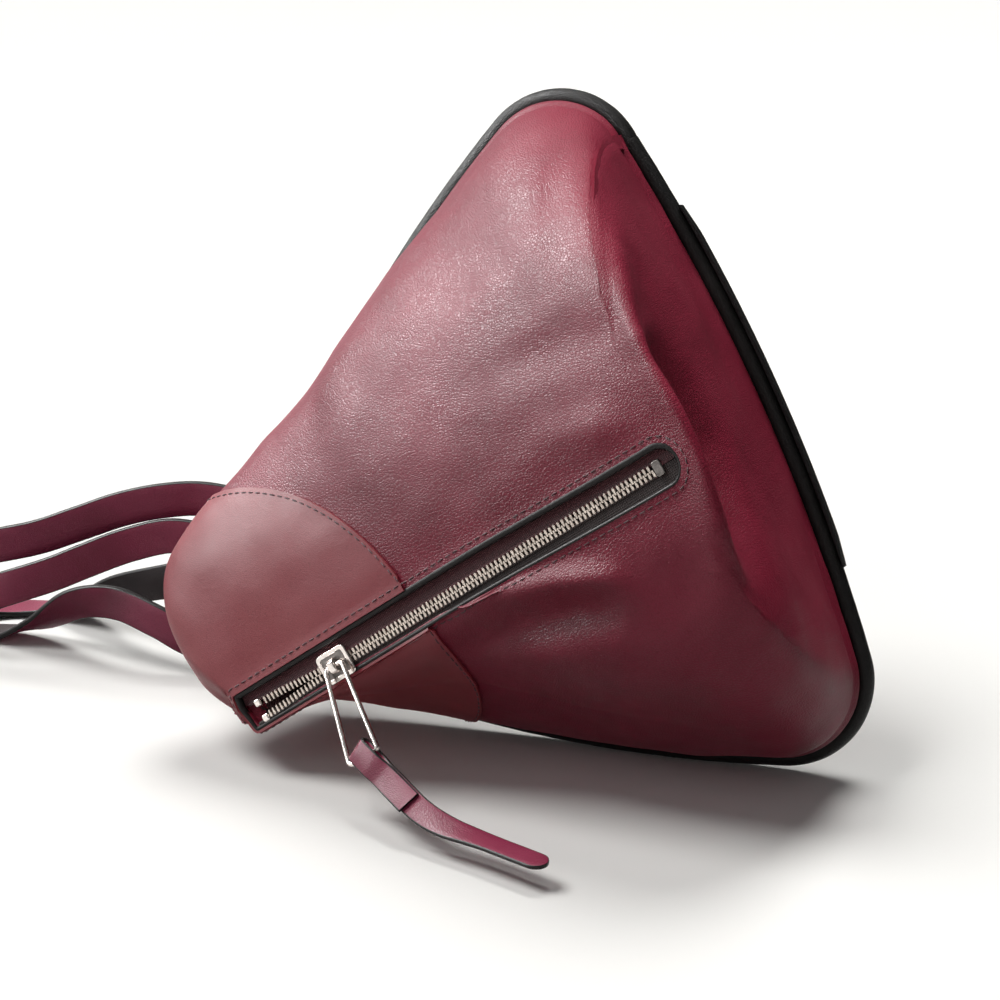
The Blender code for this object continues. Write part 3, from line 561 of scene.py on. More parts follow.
def leather(name, deep, middle, light, roughness, grain_size, grain_depth, coat=0.0, shine=0.3):
    """Dyed leather: clouded colour, a pebbled grain whose furrow lines get painted shade, and fine creases.
    """
    made, tree, shader, where = new_material(name, roughness)
    clouds = noise_node(tree, where, 16, 4, 0.55, 0.4)
    tone = ramp(tree, clouds, ((0.30, deep), (0.52, middle), (0.78, light)))
    cells = node(tree, "TexVoronoi", "Distance", {"Vector": where, "Scale": 1 / grain_size},
                 feature="DISTANCE_TO_EDGE")
    pebbles = combined(tree, "MULTIPLY", spread(tree, cells, 0.0, 0.22), 0.6)
    fine = combined(tree, "MULTIPLY", noise_node(tree, where, 2.2 / grain_size, 3, 0.6), 0.5)
    broad = combined(tree, "MULTIPLY", noise_node(tree, where, 1 / (grain_size * 2.5), 2), 0.5)
    height = combined(tree, "ADD", combined(tree, "ADD", pebbles, fine), broad)
    # Painted shade: the colour darkens towards the edges of the grain's cells, along each furrow line
    furrow_shade = spread(tree, cells, 0.0, 0.10, 0.78, 1.0)
    gloss = spread(tree, noise_node(tree, where, 40, 3), 0.3, 0.7, roughness - 0.05, roughness + 0.08)
    fill(tree, shader, {"Base Color": mixed(tree, 1.0, tone, furrow_shade, "MULTIPLY"), "Roughness": gloss,
                        "Specular IOR Level": shine, "Coat Weight": coat, "Coat Roughness": 0.35})
    creases = bump(tree, shader, noise_node(tree, where, 90, 4, 0.6, 1.2), 0.0006, 0.25)
    bump(tree, shader, height, grain_depth, 1.0, creases)
    return made


def edge_paint(name, colour, roughness=0.45):
    """Painted cut edges: nearly black, a little uneven, with small pale wear."""
    made, tree, shader, where = new_material(name, roughness)
    marks = noise_node(tree, where, 260, 4, 0.65)
    worn = tuple(c * 1.6 for c in colour)
    bare = tuple(c * 3 + 0.01 for c in colour)
    tone = ramp(tree, marks, ((0.35, colour), (0.62, worn), (0.85, bare)))
    fill(tree, shader, {"Base Color": tone, "Specular IOR Level": 0.25})
    bump(tree, shader, noise_node(tree, where, 500, 3, 0.6), 0.00025, 0.6)
    return made


def woven(name, deep, light, size, roughness=0.85, own_frame=True):
    """Woven tape or cloth: crossing ribs."""
    made, tree, shader, where = new_material(name, roughness, 0.0, own_frame)
    inputs = {"Vector": where, "Scale": 1 / size / 6.28, "Distortion": 0.6}
    ribs = [node(tree, "TexWave", "Fac", inputs, bands_direction=axis) for axis in ("X", "Y")]
    weave = combined(tree, "ADD", combined(tree, "MULTIPLY", *ribs), noise_node(tree, where, 900, 3, 0.7))
    tone = mixed(tree, combined(tree, "MULTIPLY", weave, 0.6), deep, light)
    fill(tree, shader, {"Base Color": tone, "Sheen Weight": 0.2})
    bump(tree, shader, weave, 0.0003, 0.8)
    return made


def plated(name, dark, light, roughness):
    """Plated metal with fine scratches and small dull spots."""
    made, tree, shader, where = new_material(name, roughness, 1.0)
    tone = ramp(tree, noise_node(tree, where, 420, 5, 0.7), ((0.30, dark), (0.62, light)))
    dull = spread(tree, noise_node(tree, where, 150, 4, 0.6), 0.35, 0.75, roughness - 0.06, roughness + 0.14)
    fill(tree, shader, {"Base Color": tone, "Roughness": dull})
    bump(tree, shader, noise_node(tree, where, 1400, 2, 0.6, 2.0), 0.00004, 0.5)
    return made


def board(name):
    """Pressed fibre board."""
    made, tree, shader, where = new_material(name, 0.9, 0.0, False)
    flecks = noise_node(tree, where, 700, 5, 0.7)
    fill(tree, shader, {"Base Color": ramp(tree, flecks, ((0.30, (0.20, 0.15, 0.10)),
                                                          (0.70, (0.38, 0.31, 0.23))))})
    bump(tree, shader, flecks, 0.0003, 0.6)
    return made


looks = {
    "grain": leather("grained_burgundy", (0.270, 0.014, 0.040), (0.365, 0.023, 0.060),
                     (0.440, 0.046, 0.088), 0.45, 0.00125, 0.00017, 0.0, 0.34),
    "smooth": leather("smooth_burgundy", (0.400, 0.046, 0.064), (0.460, 0.060, 0.080),
                      (0.500, 0.085, 0.098), 0.48, 0.00070, 0.00005, 0.08, 0.4),
    "strap": leather("strap_burgundy", (0.250, 0.015, 0.056), (0.350, 0.028, 0.088),
                     (0.420, 0.056, 0.125), 0.42, 0.00100, 0.00010, 0.10),
    "inside": leather("strap_inside", (0.018, 0.010, 0.012), (0.035, 0.017, 0.020),
                      (0.055, 0.030, 0.033), 0.55, 0.00080, 0.00010),
    "edge": edge_paint("black_edge_paint", (0.010, 0.008, 0.008)),
    "piping": leather("black_piping", (0.003, 0.0025, 0.0025), (0.006, 0.005, 0.005),
                      (0.013, 0.011, 0.011), 0.45, 0.00090, 0.00016),
    "upper_tape": woven("burgundy_tape", (0.130, 0.036, 0.046), (0.280, 0.100, 0.112), 0.00045),
    # The lower tape is the same tape painted far darker: painted shade for the shadow it lies in below the
    # chain
    "lower_tape": woven("tape_darkened_as_shade", (0.016, 0.007, 0.007), (0.050, 0.022, 0.020), 0.00045),
    "lining": woven("lining_cloth", (0.060, 0.022, 0.024), (0.120, 0.050, 0.052), 0.00060, 0.85, False),
    "teeth": plated("zip_teeth_metal", (0.40, 0.34, 0.30), (0.66, 0.58, 0.52), 0.34),
    "nickel": plated("pale_nickel", (0.74, 0.67, 0.63), (0.90, 0.83, 0.79), 0.20),
    # Dull dark metal: the bottom clip's own finish, and painted shade in the slider's recess
    "dull_metal_and_recess_shade": plated("dull_metal_and_recess_shade", (0.10, 0.09, 0.085), (0.22, 0.20, 0.19), 0.45),
    "thread": woven("burgundy_thread", (0.100, 0.022, 0.034), (0.240, 0.075, 0.095), 0.00030, 0.7),
    "board": board("fibre_board"),
}


# The panel's outline


def outline_sections():
    """Six tangent arcs: each one's centre, radius, first angle and last angle."""
    corner = Vector((base_arc_radius, panel_width / 2 - corner_radius))
    rise = math.sqrt((base_arc_radius - corner_radius) ** 2 - corner.y ** 2)
    corner.x = base_arc_radius - rise
    top = Vector((panel_height - top_radius, 0))
    between = top - corner
    length = between.length
    to_corner = side_arc_radius - corner_radius
    to_top = side_arc_radius - top_radius
    along = (to_corner ** 2 - to_top ** 2 + length ** 2) / (2 * length)
    across = math.sqrt(to_corner ** 2 - along ** 2)
    unit = between / length
    side = corner + unit * along + Vector((unit.y, -unit.x)) * across
    if side.y > 0:
        side = corner + unit * along - Vector((unit.y, -unit.x)) * across
    base_angle = math.atan2(corner.y, corner.x - base_arc_radius)
    corner_angle = math.atan2(corner.y - side.y, corner.x - side.x)
    top_angle = math.atan2(top.y - side.y, top.x - side.x)
    turn = 2 * math.pi
    return (
        (Vector((base_arc_radius, 0)), base_arc_radius, turn - base_angle, base_angle),
        (corner, corner_radius, base_angle, corner_angle),
        (side, side_arc_radius, corner_angle, top_angle),
        (top, top_radius, top_angle, -top_angle),
        (Vector((side.x, -side.y)), side_arc_radius, -top_angle, -corner_angle),
        (Vector((corner.x, -corner.y)), corner_radius, -corner_angle, base_angle - turn),
    )


SECTIONS = outline_sections()
STATIONS = sum(section_steps)
STARTS = [sum(section_steps[:index]) for index in range(7)]
FINE = [i / columns_a_step for i in range(STATIONS * columns_a_step)]


def section_at(station):
    """The section that a station lies in, and how far along it, from 0 to 1."""
    station %= STATIONS
    index = max(i for i in range(6) if STARTS[i] <= station)
    return index, (station - STARTS[index]) / section_steps[index]


def outline_point(station, inset=0):
    """A point of the panel's outline and its outward direction."""
    index, share = section_at(station)
    centre, radius, first, last = SECTIONS[index]
    angle = first + (last - first) * share
    outward = Vector((math.cos(angle), math.sin(angle)))
    return centre + outward * (radius - inset), outward


def outline(inset, stations=FINE):
    return [tuple(outline_point(station, inset)[0]) for station in stations]


def key_value(shares, station):
    """A value between the keys at the sections' ends and middles."""
    index, share = section_at(station)
    keys = {0: (0, 1, 2), 1: (2, 3, 4), 2: (4, 5, 6), 3: (6, 7, 8), 4: (8, 9, 10), 5: (10, 11, 0)}[index]
    first, last = (keys[0], keys[1]) if share < 0.5 else (keys[1], keys[2])
    within = smooth_share(share * 2 if share < 0.5 else share * 2 - 1)
    return shares[first] + (shares[last] - shares[first]) * within


# How the bag lies in the shared frame


def laid_rotation():
    turn = Matrix.Rotation(math.pi + roll_angle, 3, "Z")
    lean = Matrix.Rotation(math.pi / 2 - lean_angle, 3, "X")
    yaw = Matrix.Rotation(-yaw_angle, 3, "Z")
    return yaw @ lean @ turn


ROTATION = laid_rotation()


def bag_origin():
    """Where the bag's origin lies, from the box of the CAD's back panel."""
    inset = 2 * piping_radius + seam_gap
    low = Vector((math.inf,) * 3)
    for station in range(STATIONS):
        x, y = outline_point(station, inset)[0]
        for z in (-panel_sink, -panel_sink - panel_leather_thickness):
            place = ROTATION @ Vector((x, y, z))
            low = Vector(min(pair) for pair in zip(low, place))
    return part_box("back_panel")[0] - low


ORIGIN = bag_origin()
BAG = Matrix.Translation(ORIGIN) @ ROTATION.to_4x4()


def resting_height():
    """How high the bag's origin lies when the piping rests on the floor."""
    places = [ROTATION @ Vector((*outline_point(i, piping_radius)[0], 0)) for i in range(STATIONS)]
    return piping_radius - min(min(place.z for place in places), 0)


REST_HEIGHT = resting_height()
ON_FLOOR = ORIGIN - Vector((0, 0, REST_HEIGHT))


# The zip's own frame


ZIP_START = Vector((zip_base_margin, zip_base_drop, zip_base_depth))
ZIP_END = Vector((panel_height - zip_top_margin, zip_top_drop, zip_top_depth))
ZIP_LENGTH = (ZIP_END - ZIP_START).length
ZIP_X = (ZIP_END - ZIP_START).normalized()
ZIP_Y = Vector((-ZIP_X.y, ZIP_X.x, 0)).normalized()
ZIP_Z = ZIP_X.cross(ZIP_Y)
ZIP = BAG @ Matrix.Translation(ZIP_START) @ Matrix((ZIP_X, ZIP_Y, ZIP_Z)).transposed().to_4x4()
LAST_X = ZIP_LENGTH + slot_past_stops


def zip_to_bag(x, y, z=0):
    return ZIP_START + ZIP_X * x + ZIP_Y * y + ZIP_Z * z


def slot_width_at(x, side):
    spread_here = lower_slot_spread if side > 0 else upper_slot_spread
    return slot_half_width + spread_here * smooth_share(2 * x / ZIP_LENGTH)


def band_at(x, side):
    return slot_band - (lower_band_fade * smooth_share(2 * x / ZIP_LENGTH) if side > 0 else 0)


def slot_point(station, inset=0, band_part=0):
    """The point of the slot's edge that a station's seam runs to, in the zip's frame."""
    index, share = section_at(station)
    if index == 0:
        angle = math.pi * (1.5 - share)
        radius = slot_half_width - inset + slot_band * band_part
        return radius * math.cos(angle), radius * math.sin(angle)
    if index == 3:
        angle = math.pi * (0.5 - share)
        side = 1 if angle > 0 else -1
        reach = slot_end_reach + (slot_band - lower_band_fade) * band_part - inset
        half = slot_width_at(LAST_X, side) + band_at(LAST_X, side) * band_part - inset
        return LAST_X + reach * math.cos(angle), half * math.sin(angle)
    corner_share = section_steps[1] / (section_steps[1] + section_steps[2])
    along = {1: share * corner_share, 2: corner_share + share * (1 - corner_share)}
    back = {4: 1 - share * (1 - corner_share), 5: corner_share * (1 - share)}
    side = 1 if index in along else -1
    x = LAST_X * (along[index] if side > 0 else back[index])
    return x, side * (slot_width_at(x, side) + band_at(x, side) * band_part - inset)


def open_share(station):
    """How far the leather falls away beside the slot: 1 on the lower side of its open end."""
    x, y = slot_point(station)
    along = smooth_share((x / ZIP_LENGTH - open_from_share) / open_along_share)
    return along * smooth_share(y / slot_half_width + open_across_share)


# The soft body


def beside_slot(place):
    """Moves a point out from under the slot, so that the leather turns down beside the zip."""
    from_start = place - ZIP_START
    x, y, z = from_start.dot(ZIP_X), from_start.dot(ZIP_Y), from_start.dot(ZIP_Z)
    along = min(max(x, 0), LAST_X)
    depth = max(-z, 0)
    side = 1 if y > 0 else -1
    band_depth = min(depth / slot_band_drop, 1)
    half = slot_width_at(along, side) + band_at(along, side) * band_depth
    end_half = slot_end_reach if x > LAST_X else slot_half_width
    share = math.hypot((x - along) / (end_half + band_at(along, side) * band_depth), y / half)
    wanted = 1 - smooth_share((depth - slot_clear_depth) / slot_fade_depth)
    if share >= wanted or share == 0:
        return place
    grow = wanted / share
    return zip_to_bag(along + (x - along) * grow, y * grow, z)


def surface(station, t):
    """A point of the body's outer face: t runs from the seam, 0, to the slot's edge, 1."""
    seam, outward = outline_point(station, piping_radius + body_seam_inset)
    fallen = open_share(station)
    edge = zip_to_bag(*slot_point(station, 0, 1), -slot_band_drop - open_band_drop * fallen)
    within_band = 1 - (1 - t) / band_share
    if within_band >= 0:
        return edge.lerp(zip_to_bag(*slot_point(station), -open_edge_drop * fallen), within_band)
    t /= 1 - band_share
    power = 2 / key_value(square_shares, station)
    angle = t * math.pi / 2
    inward = 1 - max(math.cos(angle), 0) ** power
    up = math.sin(angle) ** power
    flat = seam + (edge.xy - seam) * inward
    flat += outward * body_bulge * key_value(bulge_shares, station) * math.sin(math.pi * t)
    slope = -ZIP_Z.x * (flat.x - edge.x) / ZIP_Z.z
    height = body_seam_height + (edge.z + slope * t - body_seam_height) * up
    sag = math.sin(math.pi * min(height / sag_reach, 1)) * body_sag * key_value(sag_shares, station)
    flat += outward * sag
    place = beside_slot(Vector((flat.x, flat.y, height)))
    below = floor_gap - (ROTATION @ place).z - REST_HEIGHT
    if below > 0:
        place.y -= below / -ROTATION[2][1]
    return place


# Folds, dents and rolls pressed into the leather: a line of bag points, its height at each, and its width
folds = (
    # The ridge where the front turns into the base side
    (((0.014, -0.095, 0.062), (0.014, -0.073, 0.086), (0.017, -0.039, 0.115), (0.015, -0.019, 0.120),
      (0.013, 0.002, 0.122), (0.014, 0.020, 0.122), (0.018, 0.042, 0.120), (0.026, 0.067, 0.111),
      (0.036, 0.083, 0.102)),
     (0.0, 0.0003, 0.0014, 0.0024, 0.0026, 0.0026, 0.0022, 0.0016, 0.0002), 0.0066),
    # The dent beside the ridge, which starts abruptly
    (((0.015, -0.036, 0.102), (0.015, -0.026, 0.100), (0.014, -0.006, 0.092), (0.013, 0.014, 0.088),
      (0.014, 0.031, 0.090), (0.014, 0.050, 0.096), (0.017, 0.070, 0.098), (0.024, 0.086, 0.094)),
     (-0.0008, -0.0066, -0.0100, -0.0104, -0.0094, -0.0074, -0.0046, -0.0006), 0.0130),
    # The pinched fold below the zip, and the hollow under it
    (((0.137, 0.034, 0.094), (0.120, 0.034, 0.099), (0.107, 0.037, 0.101), (0.089, 0.040, 0.105),
      (0.076, 0.044, 0.107), (0.068, 0.047, 0.108), (0.063, 0.055, 0.108)),
     (0.0006, 0.0024, 0.0034, 0.0040, 0.0040, 0.0030, 0.0006), 0.0055),
    (((0.140, 0.050, 0.088), (0.113, 0.052, 0.095), (0.093, 0.054, 0.100), (0.080, 0.058, 0.103),
      (0.070, 0.064, 0.104)),
     (-0.0040, -0.0066, -0.0068, -0.0052, -0.0008), 0.0100),
    # Soft swells and a hollow on the upper front
    (((0.044, -0.105, 0.073), (0.039, -0.072, 0.095), (0.035, -0.052, 0.105)),
     (0.0010, 0.0018, 0.0004), 0.0120),
    (((0.085, -0.052, 0.098), (0.060, -0.046, 0.105), (0.032, -0.042, 0.112)),
     (-0.0004, -0.0018, -0.0014), 0.0100),
    (((0.085, -0.012, 0.110), (0.060, -0.012, 0.113), (0.046, -0.008, 0.114), (0.031, -0.002, 0.117)),
     (0.0002, 0.0014, 0.0020, 0.0006), 0.0085),
)


def fold_height(points):
    """How far each point is pushed out by the folds."""
    pushed = np.zeros(len(points))
    for line, heights, width in folds:
        nearest = np.full(len(points), np.inf)
        height_there = np.zeros(len(points))
        for i in range(len(line) - 1):
            a, b = np.array(line[i]), np.array(line[i + 1])
            share = np.clip((points - a) @ (b - a) / ((b - a) @ (b - a)), 0, 1)
            away = np.linalg.norm(points - (a + share[:, None] * (b - a)), axis=1)
            closer = away < nearest
            nearest = np.where(closer, away, nearest)
            height_there = np.where(closer, heights[i] + (heights[i + 1] - heights[i]) * share, height_there)
        pushed += height_there * np.exp(-(nearest / width) ** 2)
    return pushed


def grid_normals(places, closed):
    """The outward direction at each point of a grid of rows and columns."""
    if closed:
        down = np.roll(places, -1, axis=0) - np.roll(places, 1, axis=0)
    else:
        down = np.gradient(places, axis=0)
    across = np.gradient(places, axis=1)
    normals = np.cross(across, down)
    return normals / np.maximum(np.linalg.norm(normals, axis=2, keepdims=True), 1e-12)


def body_grid():
    """The body's outer face as rows of points, with the swell by its seam, the folds and unevenness."""
    shares = [(1 - band_share) * (ring / body_rings) ** ring_crowding for ring in range(body_rings + 1)]
    shares += [1 - band_share * (1 - step / band_steps) for step in range(1, band_steps + 1)]
    places = np.array([[surface(station, t) for t in shares] for station in FINE])
    normals = grid_normals(places, True)
    shape = places.shape[:2]
    flat = places.reshape(-1, 3)
    pushed = fold_height(flat).reshape(shape)
    run = np.linalg.norm(np.diff(places, axis=1), axis=2)
    from_seam = np.concatenate([np.zeros((shape[0], 1)), np.cumsum(run, axis=1)], axis=1)
    from_slot = from_seam[:, -1:] - from_seam
    for height, distance, width in seam_rolls:
        pushed += height * np.exp(-((from_seam - distance) / width) ** 2)
    soft = np.array([sum(noise.noise(Vector(p) * scale) * height for scale, height in uneven_swells)
                     for p in flat]).reshape(shape)
    by_slot = np.clip(from_slot / uneven_fade - uneven_clear_share, 0, 1)
    pushed += soft * by_slot * np.clip(from_seam / uneven_fade, 0, 1)
    return places + normals * pushed[:, :, None]


BODY = body_grid()
BODY_NORMALS = grid_normals(BODY, True)


def thick_sheet(places, thickness, closed):
    """A grid of points with an inner face at its thickness and closed edges, as points and faces."""
    rows, columns = places.shape[:2]
    inner = places - grid_normals(places, closed) * thickness
    points = [*places.reshape(-1, 3), *inner.reshape(-1, 3)]
    count = rows * columns
    faces = quads(rows, columns, closed, False)
    faces += [tuple(count + i for i in reversed(face)) for face in faces]
    for i in range(rows if closed else rows - 1):
        after = (i + 1) % rows
        faces.append((i * columns, after * columns, count + after * columns, count + i * columns))
        a, b = i * columns + columns - 1, after * columns + columns - 1
        faces.append((b, a, count + a, count + b))
    if not closed:
        for j in range(columns - 1):
            faces.append((j + 1, j, count + j, count + j + 1))
            a = (rows - 1) * columns + j
            faces.append((a, a + 1, count + a + 1, count + a))
    return points, faces


def make_body():
    shape = thick_sheet(BODY, leather_thickness, True)
    piece("front_body", shape, "grain", BAG, "bag", "grained_leather", "body_shell", angle=50)
    # The lining hangs a little inside the leather, drawn towards the middle of the bag
    middle = np.array((panel_height * lining_middle[0], 0, zip_base_depth * lining_middle[1]))
    outer = BODY[::2, 4:-6:2]
    shape = thick_sheet(outer + (middle - outer) * lining_draw, lining_thickness, True)
    piece("body_cloth", shape, "lining", BAG, "bag", "lining_cloth", "body_lining", angle=50)


def patch_grid():
    """The smooth patch over the top end: from its arc about the zip's open end to the slot."""
    centre = np.array(zip_to_bag(ZIP_LENGTH, 0))
    away = np.linalg.norm(BODY - centre, axis=2)
    inside = (away < patch_radius) & (BODY[:, :, 2] > patch_seam_height)
    lifted = BODY + BODY_NORMALS * (patch_thickness + patch_lift)
    columns = BODY.shape[1]
    made = []
    for i in range(len(BODY)):
        if away[i, -1] >= patch_radius:
            continue
        outside = [j for j in range(columns) if not inside[i, j]]
        start = outside[-1] if outside else 0
        share = 0.0
        if away[i, start] > patch_radius and start + 1 < columns:
            share = (away[i, start] - patch_radius) / (away[i, start] - away[i, start + 1])
        at = np.linspace(start + share, columns - 1, patch_columns)
        made.append([value_at(k, np.arange(columns), lifted[i]) for k in at])
    return np.array(made)


def make_patch():
    grid = patch_grid()
    shape = thick_sheet(grid, patch_thickness, False)
    piece("end_patch", shape, "smooth", BAG, "bag", "smooth_leather", "top_patch", angle=50)
    route = []
    uprights = []
    for row, ups in zip(grid, grid_normals(grid, False)):
        run = run_along(row)
        route.append(Vector(value_at(patch_thread_inset, run, row)))
        uprights.append(Vector(value_at(patch_thread_inset, run, ups)))
    stitches("patch_stitches", route, uprights, "smooth_leather", False)


# Panel, piping and strip


PANEL_BACK = -panel_sink - panel_leather_thickness
TAB_HEIGHT = PANEL_BACK - seam_gap - tab_thickness / 2


def make_panel():
    inset = 2 * piping_radius + seam_gap
    piece("rear_panel", slab(outline(inset), PANEL_BACK, -panel_sink), "grain", BAG,
          "bag", "grained_leather", "back_panel", bevel=panel_bevel)
    route = [Vector((x, y, PANEL_BACK)) for x, y in outline(inset + wide_thread_inset)]
    stitches("panel_stitches", route, [Vector((0, 0, -1))] * len(route), "grained_leather")


def make_piping():
    route = [Vector((*outline_point(station, piping_radius)[0], 0)) for station in FINE]
    points, faces = swept(route, round_profile(piping_radius, piping_sides), True)
    for i, point in enumerate(points):
        uneven = piping_unevenness * noise.noise(point * piping_uneven_scale)
        points[i] = point + (point - route[i // piping_sides]) * uneven
    piece("round_piping", (points, faces), "piping", BAG, "bag", "black_edge", "rim_piping")
    half = base_strip_length / 2 / base_arc_radius
    inner = []
    outer = []
    for step in range(strip_steps + 1):
        angle = math.pi - half + 2 * half * step / strip_steps
        taper = min(1, strip_taper * min(step, strip_steps - step) / strip_steps + strip_end_share)
        for points_here, grow in ((inner, seam_gap), (outer, seam_gap + base_strip_thickness * taper)):
            radius = base_arc_radius + grow
            points_here.append((base_arc_radius + radius * math.cos(angle), radius * math.sin(angle)))
    half = base_strip_width / 2
    piece("outer_strip", slab(inner + outer[::-1], -half, half), "piping", BAG,
          "bag", "black_edge", "base_strip", bevel=strip_bevel)


# Zip


def chain_offset(x):
    return chain_spread * smooth_share((x - (ZIP_LENGTH - slider_from_stops)) / slider_from_stops)


TAPE_TOP = -leather_thickness - tape_drop
TAPE_MIDDLE = TAPE_TOP - tape_thickness / 2


def make_slot_edge():
    """The slot's thick painted edge, with its rolled lip over the leather."""
    route = [Vector((*slot_point(station), -open_edge_drop * open_share(station))) for station in FINE]
    scales = [1 - slot_edge_thinning * min(max(spot.y / slot_half_width, -1), 1) for spot in route]
    shape = swept(route, slot_edge_profile, True, None, scales)
    piece("slot_edge", shape, "edge", ZIP, "bag", "black_edge", "slot_welt", angle=60)
    route = []
    uprights = []
    for row, normals in zip(BODY, BODY_NORMALS):
        row = row[::-1]
        spot = Vector(value_at(slot_thread_inset, run_along(row), row))
        upright = Vector(normals[-4])
        on_patch = (spot - zip_to_bag(ZIP_LENGTH, 0)).length < patch_radius
        route.append(spot + upright * (patch_thickness + patch_lift if on_patch else 0))
        uprights.append(upright)
    stitches("slot_stitches", route, uprights, "grained_leather")


def tape_outline(side):
    first_x = -slot_half_width - tape_past_end
    inner = []
    outer = []
    for step in range(tape_steps + 1):
        x = first_x + (LAST_X - first_x) * step / tape_steps
        gap = seam_gap / 2
        if x > bottom_stop_length:
            gap = chain_half_width - tape_under_chain + chain_offset(x)
        inner.append((x, side * gap))
        x = LAST_X - LAST_X * step / tape_steps
        outer.append((x, side * (slot_width_at(x, side) + tape_under_leather)))
    radius = slot_half_width + tape_past_end
    for step in range(1, tape_end_steps):
        angle = math.pi / 2 * (1 + step / tape_end_steps)
        outer.append((radius * math.cos(angle), side * radius * math.sin(angle)))
    return inner + outer if side > 0 else (inner + outer)[::-1]


def tooth_outline(x, side):
    """One tooth seen from the front, anticlockwise."""
    off = chain_offset(x)
    shape = tooth_half + [(-a, b) for a, b in reversed(tooth_half)]
    made = [(x + a, side * (b + off)) for a, b in shape]
    return made if side > 0 else made[::-1]


def make_teeth(label, side):
    x = bottom_stop_length + seam_gap + tooth_pitch / 4 * (2 - side)
    last = ZIP_LENGTH - stop_length / 2 - seam_gap
    low = TAPE_MIDDLE - chain_thickness / 2
    high = TAPE_MIDDLE + chain_thickness / 2
    parts = []
    while x + tooth_root / 2 < last:
        ring = tooth_outline(x, side)
        middle = np.mean(ring, axis=0)
        small = [tuple(middle + (np.array(p) - middle) * tooth_face_share) for p in ring]
        parts.append(layered((small, low), (ring, low + tooth_bevel),
                             (ring, high - tooth_bevel), (small, high)))
        x += tooth_pitch
    piece("chain_" + label, joined(parts), "teeth", ZIP, "bag", "zip_teeth", "zip_teeth_" + label, angle=35)
    cord = []
    x = bottom_stop_length
    while x < LAST_X - tape_cord_gap:
        y = side * (chain_half_width - tooth_foot_inset + chain_offset(x))
        cord.append(Vector((x, y, TAPE_MIDDLE)))
        x += tape_cord_step
    # On the lower side this finish is the tape darkened as painted shade
    shape = swept(cord, round_profile(tape_cord_radius, tape_cord_sides), False)
    piece("tape_cord_" + label, shape, label + "_tape", ZIP, "bag", "zip_tape")


def make_zip():
    # The lower side's tape and cord take the darker tape, whose colour is painted shade
    for side, label in ((-1, "upper"), (1, "lower")):
        shape = slab(tape_outline(side), TAPE_TOP - tape_thickness, TAPE_TOP)
        piece("woven_tape_" + label, shape, label + "_tape", ZIP, "bag", "zip_tape", "zip_tape_" + label)
        make_teeth(label, side)
        y = side * (chain_offset(ZIP_LENGTH) + chain_half_width - stop_width / 2)
        ring = [(ZIP_LENGTH + px, y + py)
                for px, py in rounded_rectangle(stop_length, stop_width, stop_corner)]
        shape = slab(ring, TAPE_MIDDLE - stop_thickness / 2, TAPE_MIDDLE + stop_thickness / 2)
        piece("end_stop_" + label, shape, "nickel", ZIP, "bag", "pale_nickel", "top_stop_" + label,
              bevel=stop_bevel)
    ring = [(bottom_stop_length / 2 + px, py) for px, py in
            rounded_rectangle(bottom_stop_length, 2 * chain_half_width, stop_corner)]
    low = TAPE_TOP + seam_gap / 2
    piece("bottom_clip", slab(ring, low, low + clip_thickness), "dull_metal_and_recess_shade", ZIP,
          "bag", "zip_teeth", "bottom_stop", bevel=clip_bevel)


# Slider, ring and pull


SLIDER = ZIP @ Matrix.Translation((ZIP_LENGTH - slider_from_stops, 0, TAPE_MIDDLE))
PLATE_INNER = chain_thickness / 2 + run_gap
RING_HEIGHT = PLATE_INNER + slider_plate + seam_gap + ring_wire_radius
RING_TURN = Matrix.Rotation(math.pi / 2 - ring_hang_angle, 4, "X")
RING = SLIDER @ Matrix.Translation((0, 0, RING_HEIGHT)) @ RING_TURN
RING_REACH = ring_length - 2 * ring_wire_radius
PULL = RING @ Matrix.Translation((0, RING_REACH, 0))


def slider_walls(low, high):
    """The two side walls between two heights, as points and faces."""
    half_length = slider_length / 2 - slider_corner
    parts = []
    for side in (-1, 1):
        y = side * (slider_half_width - slider_wall / 2)
        ring = [(a * half_length, y + b * slider_wall / 2) for a, b in ((1, 1), (-1, 1), (-1, -1), (1, -1))]
        parts.append(slab(ring, low, high))
    return parts


